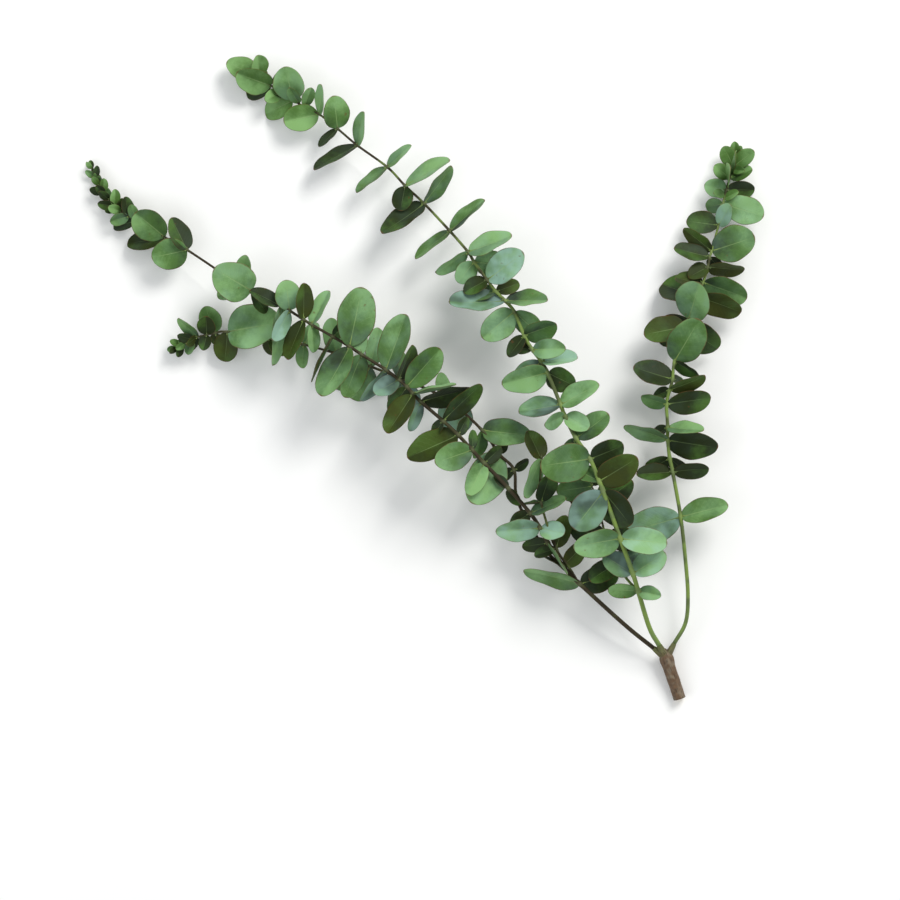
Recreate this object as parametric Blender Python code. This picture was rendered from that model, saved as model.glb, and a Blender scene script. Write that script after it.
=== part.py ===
"""A cut sprig of blue-green eucalyptus foliage, lying on a surface. Metres, +Z up.

One woody twig forks into leafy shoots. Their round, almost stalkless leaves stand in
opposite pairs, each pair turned against the last, and grow smaller towards the tips.
The stems and pairs are laid out on a grid seen from above: a unit is GRID metres, x runs
right and y runs down the page. Heights are in millimetres over the surface.
"""
import copy
import math
import random

import bmesh
import bpy
from mathutils import Quaternion, Vector
from mathutils.bvhtree import BVHTree

# Driving dimensions, in metres where nothing else is said
GRID = 0.0007
MM = 0.001
PAGE_MIDDLE = (423.6, 378.0)   # the grid place that stands at the origin
BLADE_THICKNESS = 0.0008
PETIOLE_HALF_WIDTH = 0.0007
SHARE_LIMITS = (0.60, 0.92)    # width of a blade over its length, narrowest and roundest
BLUNTNESS = 0.44               # 0.5 gives a blade oval ends, and less gives it blunter ones
BELLY = (0.93, 0.13)           # where along it a blade is widest: its mean and how far that varies
CUP_RANGE = (0.10, 0.24)       # rise of the blade's edges over its half width
CURL_RANGE = (-0.05, 0.13)     # fall of the tip over the blade's length
WAVE_DEPTH = 0.026             # depth of the edge's waves over the blade's length
PRESS_DEPTH = 0.0036           # how far a leaf's tip is bent up by the surface it rests on
SEED = 41
STEM_SIDES = 5
TWIG_SIDES = 8
TWIG_STUB_LENGTH = 0.012
BUTT_GAP = 0.0003              # between the twig's stubs and the shoots that grow from them
SHOOT_RING_SPACING = 0.015
GIVE_WAY_STEPS = 4             # how many times its small turn a leaf may give way
GIVE_WAY_COST = 2.0            # what each such turn counts against it, in crossed faces
FORK_ROOM = 0.012              # within this of a side stem's foot, a leaf may touch that stem
GIVE_WAY = ((6, 2, 0), (-6, -2, 0), (4, -4, 9), (-4, 4, -9), (1, 4, 12), (-1, -4, -12))
# The small turns: degrees of rise, heading and tilt that take a leaf off its neighbour

# The woody twig: fork and cut end as grid x, grid y, height
FORK = (668, 660, 8.4)
TWIG_PATH = ((664, 652, 9.0), (668, 660, 8.4), (672, 672, 6.6), (677, 686, 5.0), (682, 701, 4.1))
TWIG_RADII = (0.0030, 0.0050, 0.0045, 0.0043, 0.0044)

# Shoots, from foot to tip. A row is x, y, height and its leaves, and a leaf is its heading
# and its reach as seen from above, its rise, its tilt about its own midrib, and its width
# over its reach as seen from above. Angles are in degrees.
CENTRE_FOOT = ((650, 628, 22),)
CENTRE = (
    (638, 591, 33, (177, 30, 8, 30, .55), (350, 22, 15, 20, .7)),
    (632, 573, 42, (147, 34, -8, -15, .75), (33, 38, 0, 20, .7)),
    (619, 538, 48, (190, 47, 6, 25, .62), (356, 46, 6, 20, .62)),
    (602, 491, 50, (309, 43, 2, -32, .72), (232, 47, 0, -5, .78)),
    (598, 481, 50, (30, 42, 18, -15, .74), (150, 30, -16, -35, .6)),
    (589, 459, 49, (188, 50, 24, 16, .8), (20, 36, -4, -35, .78)),
    (575, 438, 47, (36, 40, -4, 30, .6), (250, 30, -25, -20, .6)),
    (564, 416, 45, (205, 22, 45, 25, .7), (335, 26, 15, 25, .8)),
    (560, 405, 44, (186, 42, 0, -55, .5), (32, 42, 12, 45, .5)),
    (547, 373, 41, (332, 30, 0, -30, .85), (196, 46, 10, 30, .6)),
    (541, 362, 40, (7, 36, 5, 62, .5), (218, 38, -12, -10, .6)),
    (532, 350, 39, (2, 30, 35, 5, .72), (170, 20, -30, -20, .7)),
    (524, 336, 38, (24, 34, 5, -58, .55), (232, 26, -5, -40, .6)),
    (514, 312, 36, (222, 40, 12, 20, .75), (318, 38, -5, -12, .62)),
    (505, 301, 35, (183, 56, 3, -22, .42), (3, 42, 8, 60, .42)),
    (496, 292, 34, (203, 34, -15, 5, .7), (20, 24, -25, 10, .7)),
    (487, 280, 33, (36, 44, 24, 15, .72), (202, 26, -5, -35, .7)),
    (474, 262, 32, (346, 34, -8, 20, .8), (233, 26, -5, 25, .85)),
    (468, 252, 31, (22, 46, 14, 50, .45), (218, 38, 10, 40, .32)),
    (450, 231, 28, (46, 46, 8, 52, .3), (213, 44, 0, -45, .28)),
    (424, 203, 25, (48, 46, 5, -42, .3), (216, 52, 8, -28, .42)),
    (405, 185, 23, (258, 25, 14, -35, .9), (33, 50, 20, 58, .32)),
    (387, 166, 21, (45, 32, 10, 40, .36), (215, 40, 2, -50, .3)),
    (357, 144, 18, (204, 50, 0, -58, .3), (83, 32, 28, 45, .4)),
    (337, 127, 16, (98, 31, 22, -10, .95), (222, 26, 0, -50, .4)),
    (318, 112, 14, (190, 36, -4, 0, .8), (82, 28, 35, 45, .4)),
    (292, 98, 12, (103, 33, 25, 30, 1.0), (200, 33, -24, -18, .85)),
    (270, 83, 10, (166, 34, 30, 35, .75), (192, 28, -30, -14, .8)),
    (258, 74, 9, (92, 20, 35, -40, .9), (156, 36, 8, -20, .72)),
)

RIGHT_FOOT = ((687, 624, 14), (689, 597, 19), (686, 560, 24))
RIGHT = (
    (681, 517, 26, (17, 48, 8, 20, .5), (197, 58, -6, 12, .66)),
    (673, 472, 26, (183, 36, 0, -40, .5), (6, 36, 4, -45, .5)),
    (670, 458, 26, (318, 24, -30, -30, .6), (205, 28, -30, -10, .7)),
    (668, 440, 26, (348, 51, 0, -32, .56), (162, 46, 12, 58, .3)),
    (668, 427, 26, (356, 34, 32, 48, .4), (215, 22, -30, -20, .6)),
    (667, 404, 26, (6, 45, -4, -32, .55), (168, 26, 8, 45, .55)),
    (670, 390, 26, (16, 36, 22, -12, .4), (200, 18, -35, -10, .7)),
    (673, 379, 26, (163, 41, 4, -28, .62), (330, 26, -30, 60, .45)),
    (675, 361, 25, (326, 28, -8, -60, .4), (60, 43, 36, -5, .9)),
    (686, 326, 24, (188, 42, -4, -28, .68), (325, 42, -8, -28, .75)),
    (689, 319, 23, (75, 37, 34, 25, 1.0), (215, 34, -48, 3, 1.0)),
    (697, 296, 22, (163, 42, -4, -32, .8), (342, 48, -10, -32, .5)),
    (704, 282, 21, (333, 46, 8, -12, .68), (168, 28, -4, -48, .6)),
    (709, 266, 19, (358, 38, -8, -28, .55), (202, 22, -4, -45, .8)),
    (711, 256, 18, (166, 37, 4, -22, .5), (318, 24, -20, -30, .6)),
    (713, 250, 17, (18, 44, 16, 10, .85), (143, 36, 0, 20, .42)),
    (720, 224, 15, (170, 32, 3, -18, .78), (62, 22, 40, 30, .8)),
    (725, 202, 13, (342, 42, 12, 5, .72), (190, 18, -40, 10, .9)),
    (728, 188, 11, (168, 22, 10, 30, .95), (2, 30, -24, -24, .65)),
    (732, 176, 9, (12, 24, 15, 20, .85), (140, 20, 10, 5, .8)),
    (736, 164, 8, (38, 25, 16, 12, .7), (118, 22, 16, 10, .8)),
    (738, 154, 7, (95, 14, 25, 5, .8), (60, 12, 10, 25, .7)),
)

LEFT_FOOT = ((626, 626, 19),)
LEFT_LONG = (
    (580, 584, 27, (166, 57, -14, 50, .3), (14, 40, -8, -10, .7)),
    (563, 566, 30, (136, 20, 10, -40, .5), (48, 34, -6, -20, .6)),
    (548, 543, 32, (322, 38, 4, 55, .4), (205, 22, -35, -20, .6)),
    (540, 528, 34, (340, 28, 8, 28, .75), (186, 44, 4, 20, .52)),
    (530, 513, 35, (212, 24, -24, -10, .7), (27, 38, 12, 40, .35)),
    (508, 488, 37, (300, 20, -25, -20, .6), (130, 18, -20, -20, .6)),
    (484, 463, 39, (240, 36, 4, 5, .6), (40, 24, -15, -20, .6)),
    (472, 450, 40, (193, 44, 12, 0, .66), (85, 20, -15, -20, .5)),
    (458, 435, 40.5, (204, 55, -2, -16, .54), (62, 20, -26, -20, .6)),
    (443, 421, 41, (42, 52, 8, -28, .38), (232, 20, -34, -20, .6)),
    (421, 402, 42, (250, 31, -8, 15, .42), (14, 52, -2, -40, .35)),
    (413, 394, 42, (236, 46, 18, -24, .52), (3, 44, 16, 25, .32)),
    (407, 387, 42, (48, 50, 4, -10, .58), (225, 30, -25, -20, .6)),
    (399, 380, 42, (80, 36, 14, -22, .9), (205, 28, -5, -20, .75)),
    (386, 370, 42, (70, 58, 8, 4, .52), (236, 40, -8, 45, .3)),
    (362, 355, 41, (240, 46, 0, 22, .42), (85, 34, -12, -20, .5)),
    (350, 347, 41, (77, 59, 12, -14, .66), (242, 57, 12, -20, .52)),
    (333, 337, 40, (248, 50, -10, -58, .3), (40, 24, -20, -20, .6)),
    (312, 325, 39, (66, 38, -4, 30, .42), (278, 28, -8, 28, .48)),
    (304, 320, 38, (84, 36, 8, -28, .5), (243, 42, 8, -32, .45)),
    (290, 311, 36, (104, 30, 10, 32, 1.0), (240, 36, 8, 42, .42)),
    (281, 306, 35, (150, 34, 4, -42, .48), (264, 60, -10, 62, .24)),
    (252, 291, 28, (150, 42, 22, 14, 1.0), (300, 24, -25, 10, .6)),
    (240, 285, 26, (82, 30, 8, 15, .6), (205, 26, -20, -20, .7)),
    (186, 249, 17, (193, 36, 8, 14, .95), (116, 36, 2, -32, .6)),
    (163, 236, 13, (140, 38, 14, 28, .85), (186, 40, -16, -34, .6)),
    (134, 219, 9, (110, 17, 14, 10, .7), (190, 26, -20, -24, .6)),
)
LEFT_LONG_TIP = ((113, 206, 6.5), (97, 186, 5), (88, 166, 4))

LEFT_SHORT_FOOT = ((573, 577, 28.6), (545, 549, 28), (518, 502, 29))
LEFT_SHORT = (
    (514, 470, 30, (30, 18, -10, -40, .6), (215, 20, -30, -20, .6)),
    (499, 454, 29, (242, 54, 20, 16, .76), (70, 20, -34, -20, .6)),
    (482, 430, 27, (354, 49, 6, 8, .58), (262, 30, -20, 40, .5)),
    (445, 398, 23, (300, 37, -46, 3, .97), (100, 26, -10, -20, .6)),
    (400, 378, 20, (280, 36, -43, 3, .95), (95, 30, -8, -20, .6)),
    (370, 366, 19, (76, 40, -10, -22, .5), (240, 36, -42, 3, .92)),
    (335, 353, 17, (98, 36, -4, 10, .6), (285, 35, -41, 3, .92)),
    (303, 344, 16, (262, 24, -10, -25, .6), (60, 26, -8, 15, .6)),
    (268, 337, 15, (332, 27, -8, -28, .9), (280, 18, -24, -25, .9)),
    (226, 331, 14, (11, 54, 20, 22, .86), (264, 30, -14, -12, .88)),
    (214, 332, 13, (112, 28, 12, 8, .85), (285, 18, -24, -10, .8)),
    (205, 334, 12, (98, 18, 34, -40, 1.1), (255, 16, 12, -40, 1.1)),
    (196, 336, 11, (142, 26, 20, 22, .4), (236, 16, -14, -20, .7)),
)
LEFT_SHORT_TIP = ((184, 342, 9), (174, 347, 7))

UNDER_FOOT = ((638, 591, 33), (627, 579, 29.5))
UNDER_SHOOT = (
    (617, 563, 28, (30, 34, 4, 20, .7), (205, 32, -8, -20, .7)),
    (606, 536, 28, (352, 34, 6, -20, .75), (170, 36, -4, 20, .7)),
    (598, 505, 30, (35, 42, 6, 20, .7), (160, 34, -6, -15, .75)),
    (592, 486, 31, (75, 24, 10, 0, .7), (190, 36, -4, 10, .7)),
)

BASE_FOOT = ((579, 584, 27.6), (568, 566, 31))
BASE_SHOOT = (
    (556, 548, 34, (73, 34, 0, 0, .62), (190, 20, -30, -20, .6)),
    (541, 502, 36, (64, 32, -4, -40, .65), (200, 20, -25, -30, .6)),
    (541, 459, 38, (112, 31, 2, -32, .68), (246, 42, 12, 28, .38)),
)


def place(x, y, height):
    """Turn a grid place and its height in millimetres into metres."""
    return Vector(((x - PAGE_MIDDLE[0]) * GRID, (PAGE_MIDDLE[1] - y) * GRID, height * MM))


class Leaf:
    """One blade: where it grows from, how it lies, and its own cup, curl and wave."""

    def __init__(self, root, radius, row, rng):
        heading, reach, rise, tilt, share = row
        seen = reach * GRID
        self.root = root
        self.radius = radius
        self.heading = math.radians(heading)
        self.rise = math.radians(rise)
        self.length = seen / math.cos(self.rise)
        true_share = share * math.cos(self.rise) / math.cos(math.radians(tilt))
        true_share = min(max(true_share, SHARE_LIMITS[0]), SHARE_LIMITS[1])
        lean = min(1.0, share * math.cos(self.rise) / true_share)
        self.tilt = math.copysign(max(math.acos(lean), math.radians(min(abs(tilt), 12))), tilt)
        self.width = self.length * true_share
        self.cup = rng.uniform(*CUP_RANGE)
        self.curl = rng.uniform(*CURL_RANGE)
        self.wave_turns = rng.uniform(1.2, 1.9)
        self.wave_start = rng.uniform(0.0, math.tau)
        self.settle()

    def axes(self):
        """Unit vectors along the blade, to its left and out of its upper face."""
        along = Vector((math.cos(self.rise) * math.cos(self.heading),
                        math.cos(self.rise) * math.sin(self.heading),
                        math.sin(self.rise)))
        up = (Vector((0, 0, 1)) - along * along.z).normalized()
        left = up.cross(along)
        turn = Quaternion(along, -self.tilt)
        return along, turn @ left, turn @ up

    def half_width(self, u):
        """Half the blade's width at the share u of its length: a blunt oval with a round foot."""
        belly = BELLY[0] + BELLY[1] * math.cos(self.wave_start)
        body = 0.5 * self.width * max(0.0, math.sin(math.pi * u ** belly)) ** BLUNTNESS
        return max(body, PETIOLE_HALF_WIDTH * (1.0 - u) if u < 0.5 else 0.0)

    def point(self, u, v):
        """A point of the upper face: u runs from foot to tip, v from edge to edge."""
        along, left, up = self.axes()
        half = self.half_width(u)
        wave = math.sin(math.tau * self.wave_turns * u + self.wave_start + 1.1 * v)
        lift = self.cup * half * abs(v) ** 1.5 - self.curl * self.length * u * u
        lift += WAVE_DEPTH * self.length * wave * v * v * math.sin(math.pi * u)
        foot = self.root + along * (0.25 * self.radius)
        return foot + along * (self.length * u) + left * (half * v) + up * lift

    def lowest(self):
        """Height of the blade's lowest point."""
        return min(self.point(i / 8, v).z for i in range(1, 9) for v in (-1, 0, 1)) - BLADE_THICKNESS

    def settle(self):
        """Lift a blade that would reach under the surface until only its tip bends there."""
        for _ in range(90):
            if self.lowest() > -PRESS_DEPTH:
                return
            self.rise += math.radians(1.0)
            self.tilt *= 0.98

    def turned(self, turn, times):
        """The same blade, turned a few times by a small turn to clear a neighbour."""
        other = copy.copy(self)
        other.rise += math.radians(turn[0] * times)
        other.heading += math.radians(turn[1] * times)
        other.tilt += math.radians(turn[2] * times)
        other.settle()
        return other

    def segments(self):
        """Rows of faces along the blade: more on a long one."""
        if self.length > 0.031:
            return 5
        return 4 if self.length > 0.016 else 3


def leaf_mesh(leaf):
    """The blade as one closed, thin body, its two faces split into triangles alike."""
    count = leaf.segments()
    bm = bmesh.new()
    bmesh.ops.create_grid(bm, x_segments=count, y_segments=2, size=1.0)
    tip = []
    for vert in bm.verts:
        share = (vert.co.x + 1.0) / 2.0
        across = vert.co.y
        u = (1.0 - math.cos(math.pi * share)) / 2.0
        if share > 0.999:
            tip.append(vert)
        vert.co = leaf.point(u, across)
    bmesh.ops.pointmerge(bm, verts=tip, merge_co=leaf.point(1.0, 0.0))
    bmesh.ops.triangulate(bm, faces=bm.faces[:], quad_method='FIXED')
    under = -leaf.axes()[2] * BLADE_THICKNESS
    made = bmesh.ops.extrude_face_region(bm, geom=bm.faces[:])
    lower = [item for item in made['geom'] if isinstance(item, bmesh.types.BMVert)]
    upper = {vert.co.to_tuple(7): vert for vert in bm.verts if vert not in lower}
    for vert in lower:
        twin = upper[vert.co.to_tuple(7)]
        vert.co += under
        if vert.co.z < 0.0:
            twin.co.z = max(twin.co.z - vert.co.z, BLADE_THICKNESS)
            vert.co.z = 0.0
    bmesh.ops.triangulate(bm, faces=[f for f in bm.faces if len(f.verts) > 3])
    bmesh.ops.recalc_face_normals(bm, faces=bm.faces[:])
    mesh = bpy.data.meshes.new("leaf")
    bm.to_mesh(mesh)
    bm.free()
    return mesh


def smooth_path(stations, spacing):
    """Points, and shares between stations, along a smooth curve through the stations."""
    points = []
    ends = [2 * stations[0] - stations[1]] + list(stations) + [2 * stations[-1] - stations[-2]]
    for k in range(len(stations) - 1):
        a, b, c, d = ends[k:k + 4]
        steps = max(1, round((c - b).length / spacing))
        for i in range(steps):
            t = i / steps
            points.append((0.5 * ((2 * b) + (c - a) * t + (2 * a - 5 * b + 4 * c - d) * t * t
                                  + (3 * b - a - 3 * c + d) * t ** 3), k + t))
    points.append((stations[-1].copy(), len(stations) - 1.0))
    return points


def tube_mesh(name, points, radii, sides, floor=False):
    """A closed tube through points, with flat ends, carried along without twist."""
    bm = bmesh.new()
    side = Vector((0, 0, 1))
    rings = []
    for k, (point, radius) in enumerate(zip(points, radii)):
        ahead = points[min(k + 1, len(points) - 1)] - points[max(k - 1, 0)]
        ahead.normalize()
        side = (side - ahead * side.dot(ahead)).normalized()
        other = ahead.cross(side)
        ring = []
        for i in range(sides):
            angle = math.tau * (i + 0.5) / sides
            co = point + side * (radius * math.cos(angle)) + other * (radius * math.sin(angle))
            if floor and co.z < 0.0004:
                co.z = 0.0
            ring.append(bm.verts.new(co))
        rings.append(ring)
    for one, two in zip(rings, rings[1:]):
        for i in range(sides):
            j = (i + 1) % sides
            bm.faces.new((one[i], one[j], two[j], two[i]))
    bm.faces.new(list(reversed(rings[0])))
    bm.faces.new(rings[-1])
    bmesh.ops.triangulate(bm, faces=bm.faces[:])
    bmesh.ops.recalc_face_normals(bm, faces=bm.faces[:])
    mesh = bpy.data.meshes.new(name)
    bm.to_mesh(mesh)
    bm.free()
    return mesh


def tip_rows(last, way, count, first_blade, last_blade, spread):
    """Rows of crowded young pairs from the last station along the way to a shoot's tip."""
    stops = [Vector(last[:3])] + [Vector(stop) for stop in way]
    runs = [(two - one).length for one, two in zip(stops, stops[1:])]
    rows = []
    for k in range(count):
        t = (k + 1) / count
        left = t * sum(runs)
        leg = 0
        while leg < len(runs) - 1 and left > runs[leg]:
            left -= runs[leg]
            leg += 1
        run = stops[leg + 1] - stops[leg]
        spot = stops[leg] + run * (left / runs[leg])
        heading = math.degrees(math.atan2(-run.y, run.x))
        blade = first_blade + (last_blade - first_blade) * t
        turn = spread * (1.0 - 0.35 * t)
        if k % 2 == 0:
            pair = ((heading + turn, blade, 12, 25, .66), (heading - turn, blade, 12, -25, .66))
        else:
            pair = ((heading + 14, 0.7 * blade, 44, 8, .85), (heading - 14, 0.9 * blade, -8, 8, .75))
        rows.append((spot.x, spot.y, spot.z) + pair)
    return rows


class Shoot:
    """A stem with its leaves: where it runs, how thick it is and what grows from it."""

    def __init__(self, name, start, foot, rows, radii, rng):
        self.name = name
        self.start = start
        stations = [start] + [place(*row[:3]) for row in foot] + [place(*row[:3]) for row in rows]
        first = len(stations) - len(rows)
        last = len(stations) - 1
        path = smooth_path(stations, SHOOT_RING_SPACING)
        thick = []
        for _, share in path:
            radius = radii[0] + (radii[1] - radii[0]) * share / last
            at_pair = share >= first and abs(share - round(share)) < 1e-6
            thick.append(radius * (1.16 if at_pair else 1.0))
        self.stem = tube_mesh(name + "_stem", [point for point, _ in path], thick, STEM_SIDES)
        self.leaves = []
        for k, row in enumerate(rows):
            radius = radii[0] + (radii[1] - radii[0]) * (first + k) / last
            for leaf_row in row[3:]:
                self.leaves.append((k, Leaf(stations[first + k], radius, leaf_row, rng)))

    def objects(self):
        """The stem's object and one for each leaf."""
        made = [bpy.data.objects.new(self.name + "_stem", self.stem)]
        for _, leaf in self.leaves:
            made.append(bpy.data.objects.new(self.name + "_leaf", leaf_mesh(leaf)))
        return made


def tree_of(mesh):
    """A search tree of a mesh's faces, to find what crosses it."""
    points = [vert.co.copy() for vert in mesh.vertices]
    return BVHTree.FromPolygons(points, [tuple(face.vertices) for face in mesh.polygons])


def clear_leaves(shoots):
    """Turn each leaf a little where it would cut through a longer one or another stem."""
    stems = [(item, tree_of(item.stem)) for item in shoots]
    order = [(item, n, k, leaf) for item in shoots for n, (k, leaf) in enumerate(item.leaves)]
    order.sort(key=lambda entry: -round(entry[3].length, 5))
    placed = []
    for item, n, k, leaf in order:
        near = [tree for owner, row, root, reach, tree in placed
                if (owner is not item or row != k) and (root - leaf.root).length < reach + leaf.length]
        near += [tree for owner, tree in stems
                 if owner is not item and (owner.start - leaf.root).length > FORK_ROOM]
        best = None
        turns = [(GIVE_WAY[0], 0)]
        turns += [(turn, times + 1) for times in range(GIVE_WAY_STEPS) for turn in GIVE_WAY]
        for turn, times in turns:
            trial = leaf.turned(turn, times)
            tree = tree_of(leaf_mesh(trial))
            hits = sum(len(tree.overlap(other)) for other in near)
            cost = hits + GIVE_WAY_COST * times
            if best is None or cost < best[0]:
                best = (cost, trial, tree)
            if hits == 0:
                break
        item.leaves[n] = (k, best[1])
        placed.append((item, k, leaf.root, leaf.length, best[2]))


def fuse(name, pieces, colour, roughness):
    """Join pieces into one body by a single Boolean union and drop what went into it."""
    body = pieces[0]
    body.name = name
    bpy.context.scene.collection.objects.link(body)
    group = bpy.data.collections.new(name + "_pieces")
    bpy.context.scene.collection.children.link(group)
    for piece in pieces[1:]:
        group.objects.link(piece)
    union = body.modifiers.new("union", 'BOOLEAN')
    union.operation = 'UNION'
    union.solver = 'EXACT'
    union.operand_type = 'COLLECTION'
    union.collection = group
    graph = bpy.context.evaluated_depsgraph_get()
    mesh = bpy.data.meshes.new_from_object(body.evaluated_get(graph))
    body.modifiers.clear()
    body.data = mesh
    for piece in list(group.objects):
        bpy.data.objects.remove(piece)
    bpy.data.collections.remove(group)
    bm = bmesh.new()
    bm.from_mesh(mesh)
    bmesh.ops.dissolve_limit(bm, angle_limit=0.015, verts=bm.verts[:], edges=bm.edges[:])
    bmesh.ops.triangulate(bm, faces=bm.faces[:])
    bm.to_mesh(mesh)
    bm.free()
    mesh.name = name
    material = bpy.data.materials.new(name)
    material.use_nodes = True
    shader = material.node_tree.nodes["Principled BSDF"]
    shader.inputs["Base Color"].default_value = colour
    shader.inputs["Roughness"].default_value = roughness
    shader.inputs["Metallic"].default_value = 0.0
    mesh.materials.clear()
    mesh.materials.append(material)
    return body


def butt(foot):
    """Where a shoot starts: a small gap past the end of its stub on the twig's fork."""
    fork = place(*FORK)
    return fork + (place(*foot[0]) - fork).normalized() * (TWIG_STUB_LENGTH + BUTT_GAP)


def make_twig():
    """The woody twig: its fork, three stubs and the slanting cut end."""
    fork = place(*FORK)
    points = [place(*row) for row in TWIG_PATH]
    pieces = [bpy.data.objects.new("twig", tube_mesh("twig", points, TWIG_RADII, TWIG_SIDES, floor=True))]
    for foot, radius in ((LEFT_FOOT, 0.0021), (CENTRE_FOOT, 0.0024), (RIGHT_FOOT, 0.0020)):
        ahead = (place(*foot[0]) - fork).normalized()
        ends = [fork - ahead * 0.001, fork + ahead * 0.006, fork + ahead * TWIG_STUB_LENGTH]
        stub = tube_mesh("stub", ends, (radius * 1.3, radius * 1.15, radius), TWIG_SIDES)
        pieces.append(bpy.data.objects.new("stub", stub))
    return fuse("woody_base", pieces, (0.10, 0.060, 0.032, 1.0), 0.8)


def main():
    for old in list(bpy.data.objects):
        bpy.data.objects.remove(old, do_unlink=True)
    rng = random.Random(SEED)
    make_twig()

    long_rows = LEFT_LONG + tuple(tip_rows(LEFT_LONG[-1], LEFT_LONG_TIP, 8, 21, 10, 50))
    short_rows = LEFT_SHORT + tuple(tip_rows(LEFT_SHORT[-1], LEFT_SHORT_TIP, 4, 17, 11, 62))
    centre = Shoot("centre", butt(CENTRE_FOOT), CENTRE_FOOT, CENTRE, (0.0019, 0.0007), rng)
    right = Shoot("right", butt(RIGHT_FOOT), RIGHT_FOOT, RIGHT, (0.0016, 0.0007), rng)
    long = Shoot("long", butt(LEFT_FOOT), LEFT_FOOT, long_rows, (0.0017, 0.0006), rng)
    short = Shoot("short", place(*LEFT_SHORT_FOOT[0]), LEFT_SHORT_FOOT[1:], short_rows,
                  (0.0013, 0.0006), rng)
    low = Shoot("low", place(*BASE_FOOT[0]), BASE_FOOT[1:], BASE_SHOOT, (0.0012, 0.0008), rng)
    under = Shoot("under", place(*UNDER_FOOT[0]), UNDER_FOOT[1:], UNDER_SHOOT, (0.0011, 0.0007), rng)
    clear_leaves([centre, right, long, low, short, under])

    green = (0.150, 0.270, 0.190, 1.0)
    fuse("centre_stem", centre.objects() + under.objects(), green, 0.55)
    fuse("right_stem", right.objects(), green, 0.55)
    fuse("left_spray", long.objects() + short.objects() + low.objects(), green, 0.55)


if __name__ == "__main__":
    main()
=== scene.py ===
"""Looks of a cut sprig of blue-green eucalyptus foliage, lying on a plain floor.

The solid sprig comes in as a fixed frame. Its three leafy shoots are dressed with finer leaves
and stems in the same places, and its woody twig with bark and a pale cut end. Every leaf stands
where the solid one does, because both are laid out from the same rows and the same seed. Small
crowded leaves at the shoots' tips are added here alone.
"""

import copy
import logging
import math
import random
from dataclasses import dataclass, field
from enum import Enum

import bmesh
import bpy
from mathutils import Matrix, Quaternion, Vector
from mathutils.bvhtree import BVHTree

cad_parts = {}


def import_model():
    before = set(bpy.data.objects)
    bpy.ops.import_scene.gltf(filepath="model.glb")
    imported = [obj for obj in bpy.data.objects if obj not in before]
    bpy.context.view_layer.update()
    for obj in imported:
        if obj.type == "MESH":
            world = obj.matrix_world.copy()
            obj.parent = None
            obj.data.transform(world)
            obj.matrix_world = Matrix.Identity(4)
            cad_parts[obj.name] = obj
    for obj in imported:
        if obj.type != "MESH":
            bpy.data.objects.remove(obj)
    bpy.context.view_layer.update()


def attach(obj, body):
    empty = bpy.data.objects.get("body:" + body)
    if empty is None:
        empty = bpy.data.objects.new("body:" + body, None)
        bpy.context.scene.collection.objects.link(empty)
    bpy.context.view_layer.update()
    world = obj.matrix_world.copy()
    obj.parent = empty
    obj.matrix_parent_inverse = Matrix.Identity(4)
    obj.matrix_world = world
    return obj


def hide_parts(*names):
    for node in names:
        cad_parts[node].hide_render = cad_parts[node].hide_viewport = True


LOG = logging.getLogger("sprig")
Socket = bpy.types.NodeSocket
VALUE = "NodeSocketFloat"
VECTOR = "NodeSocketVector"

GRID = 0.0007                  # metres to one grid unit
MM = 0.001
PAGE_MIDDLE = (423.6, 378.0)   # the grid place over the frame's origin
SEED = 41
FORK = (668, 660, 8.4)         # where the shoots part on the twig
STUB_REACH = 0.0123            # where a shoot begins, past the fork
RUN_SCALE = 20.0               # flat units to one metre along a tube


class LeafToneAndShade(Enum):
    """How one leaf is coloured: lightness, waxy blue bloom and warm olive, each from 0 to 1. The
    lightness is partly the leaf's own tone and partly painted shade and light: leaves that lay in
    shade are painted darker, those that faced the light paler.
    """

    PALE = (0.86, 0.26, 0.06)
    BLUE = (0.78, 0.74, 0.00)
    FRESH = (0.74, 0.06, 0.10)
    GREEN = (0.56, 0.16, 0.14)
    OLIVE = (0.20, 0.03, 0.88)
    SHADE = (0.26, 0.55, 0.05)
    DARK = (0.10, 0.05, 0.30)


PALE, BLUE, FRESH, GREEN, OLIVE, SHADE, DARK = LeafToneAndShade
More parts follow.
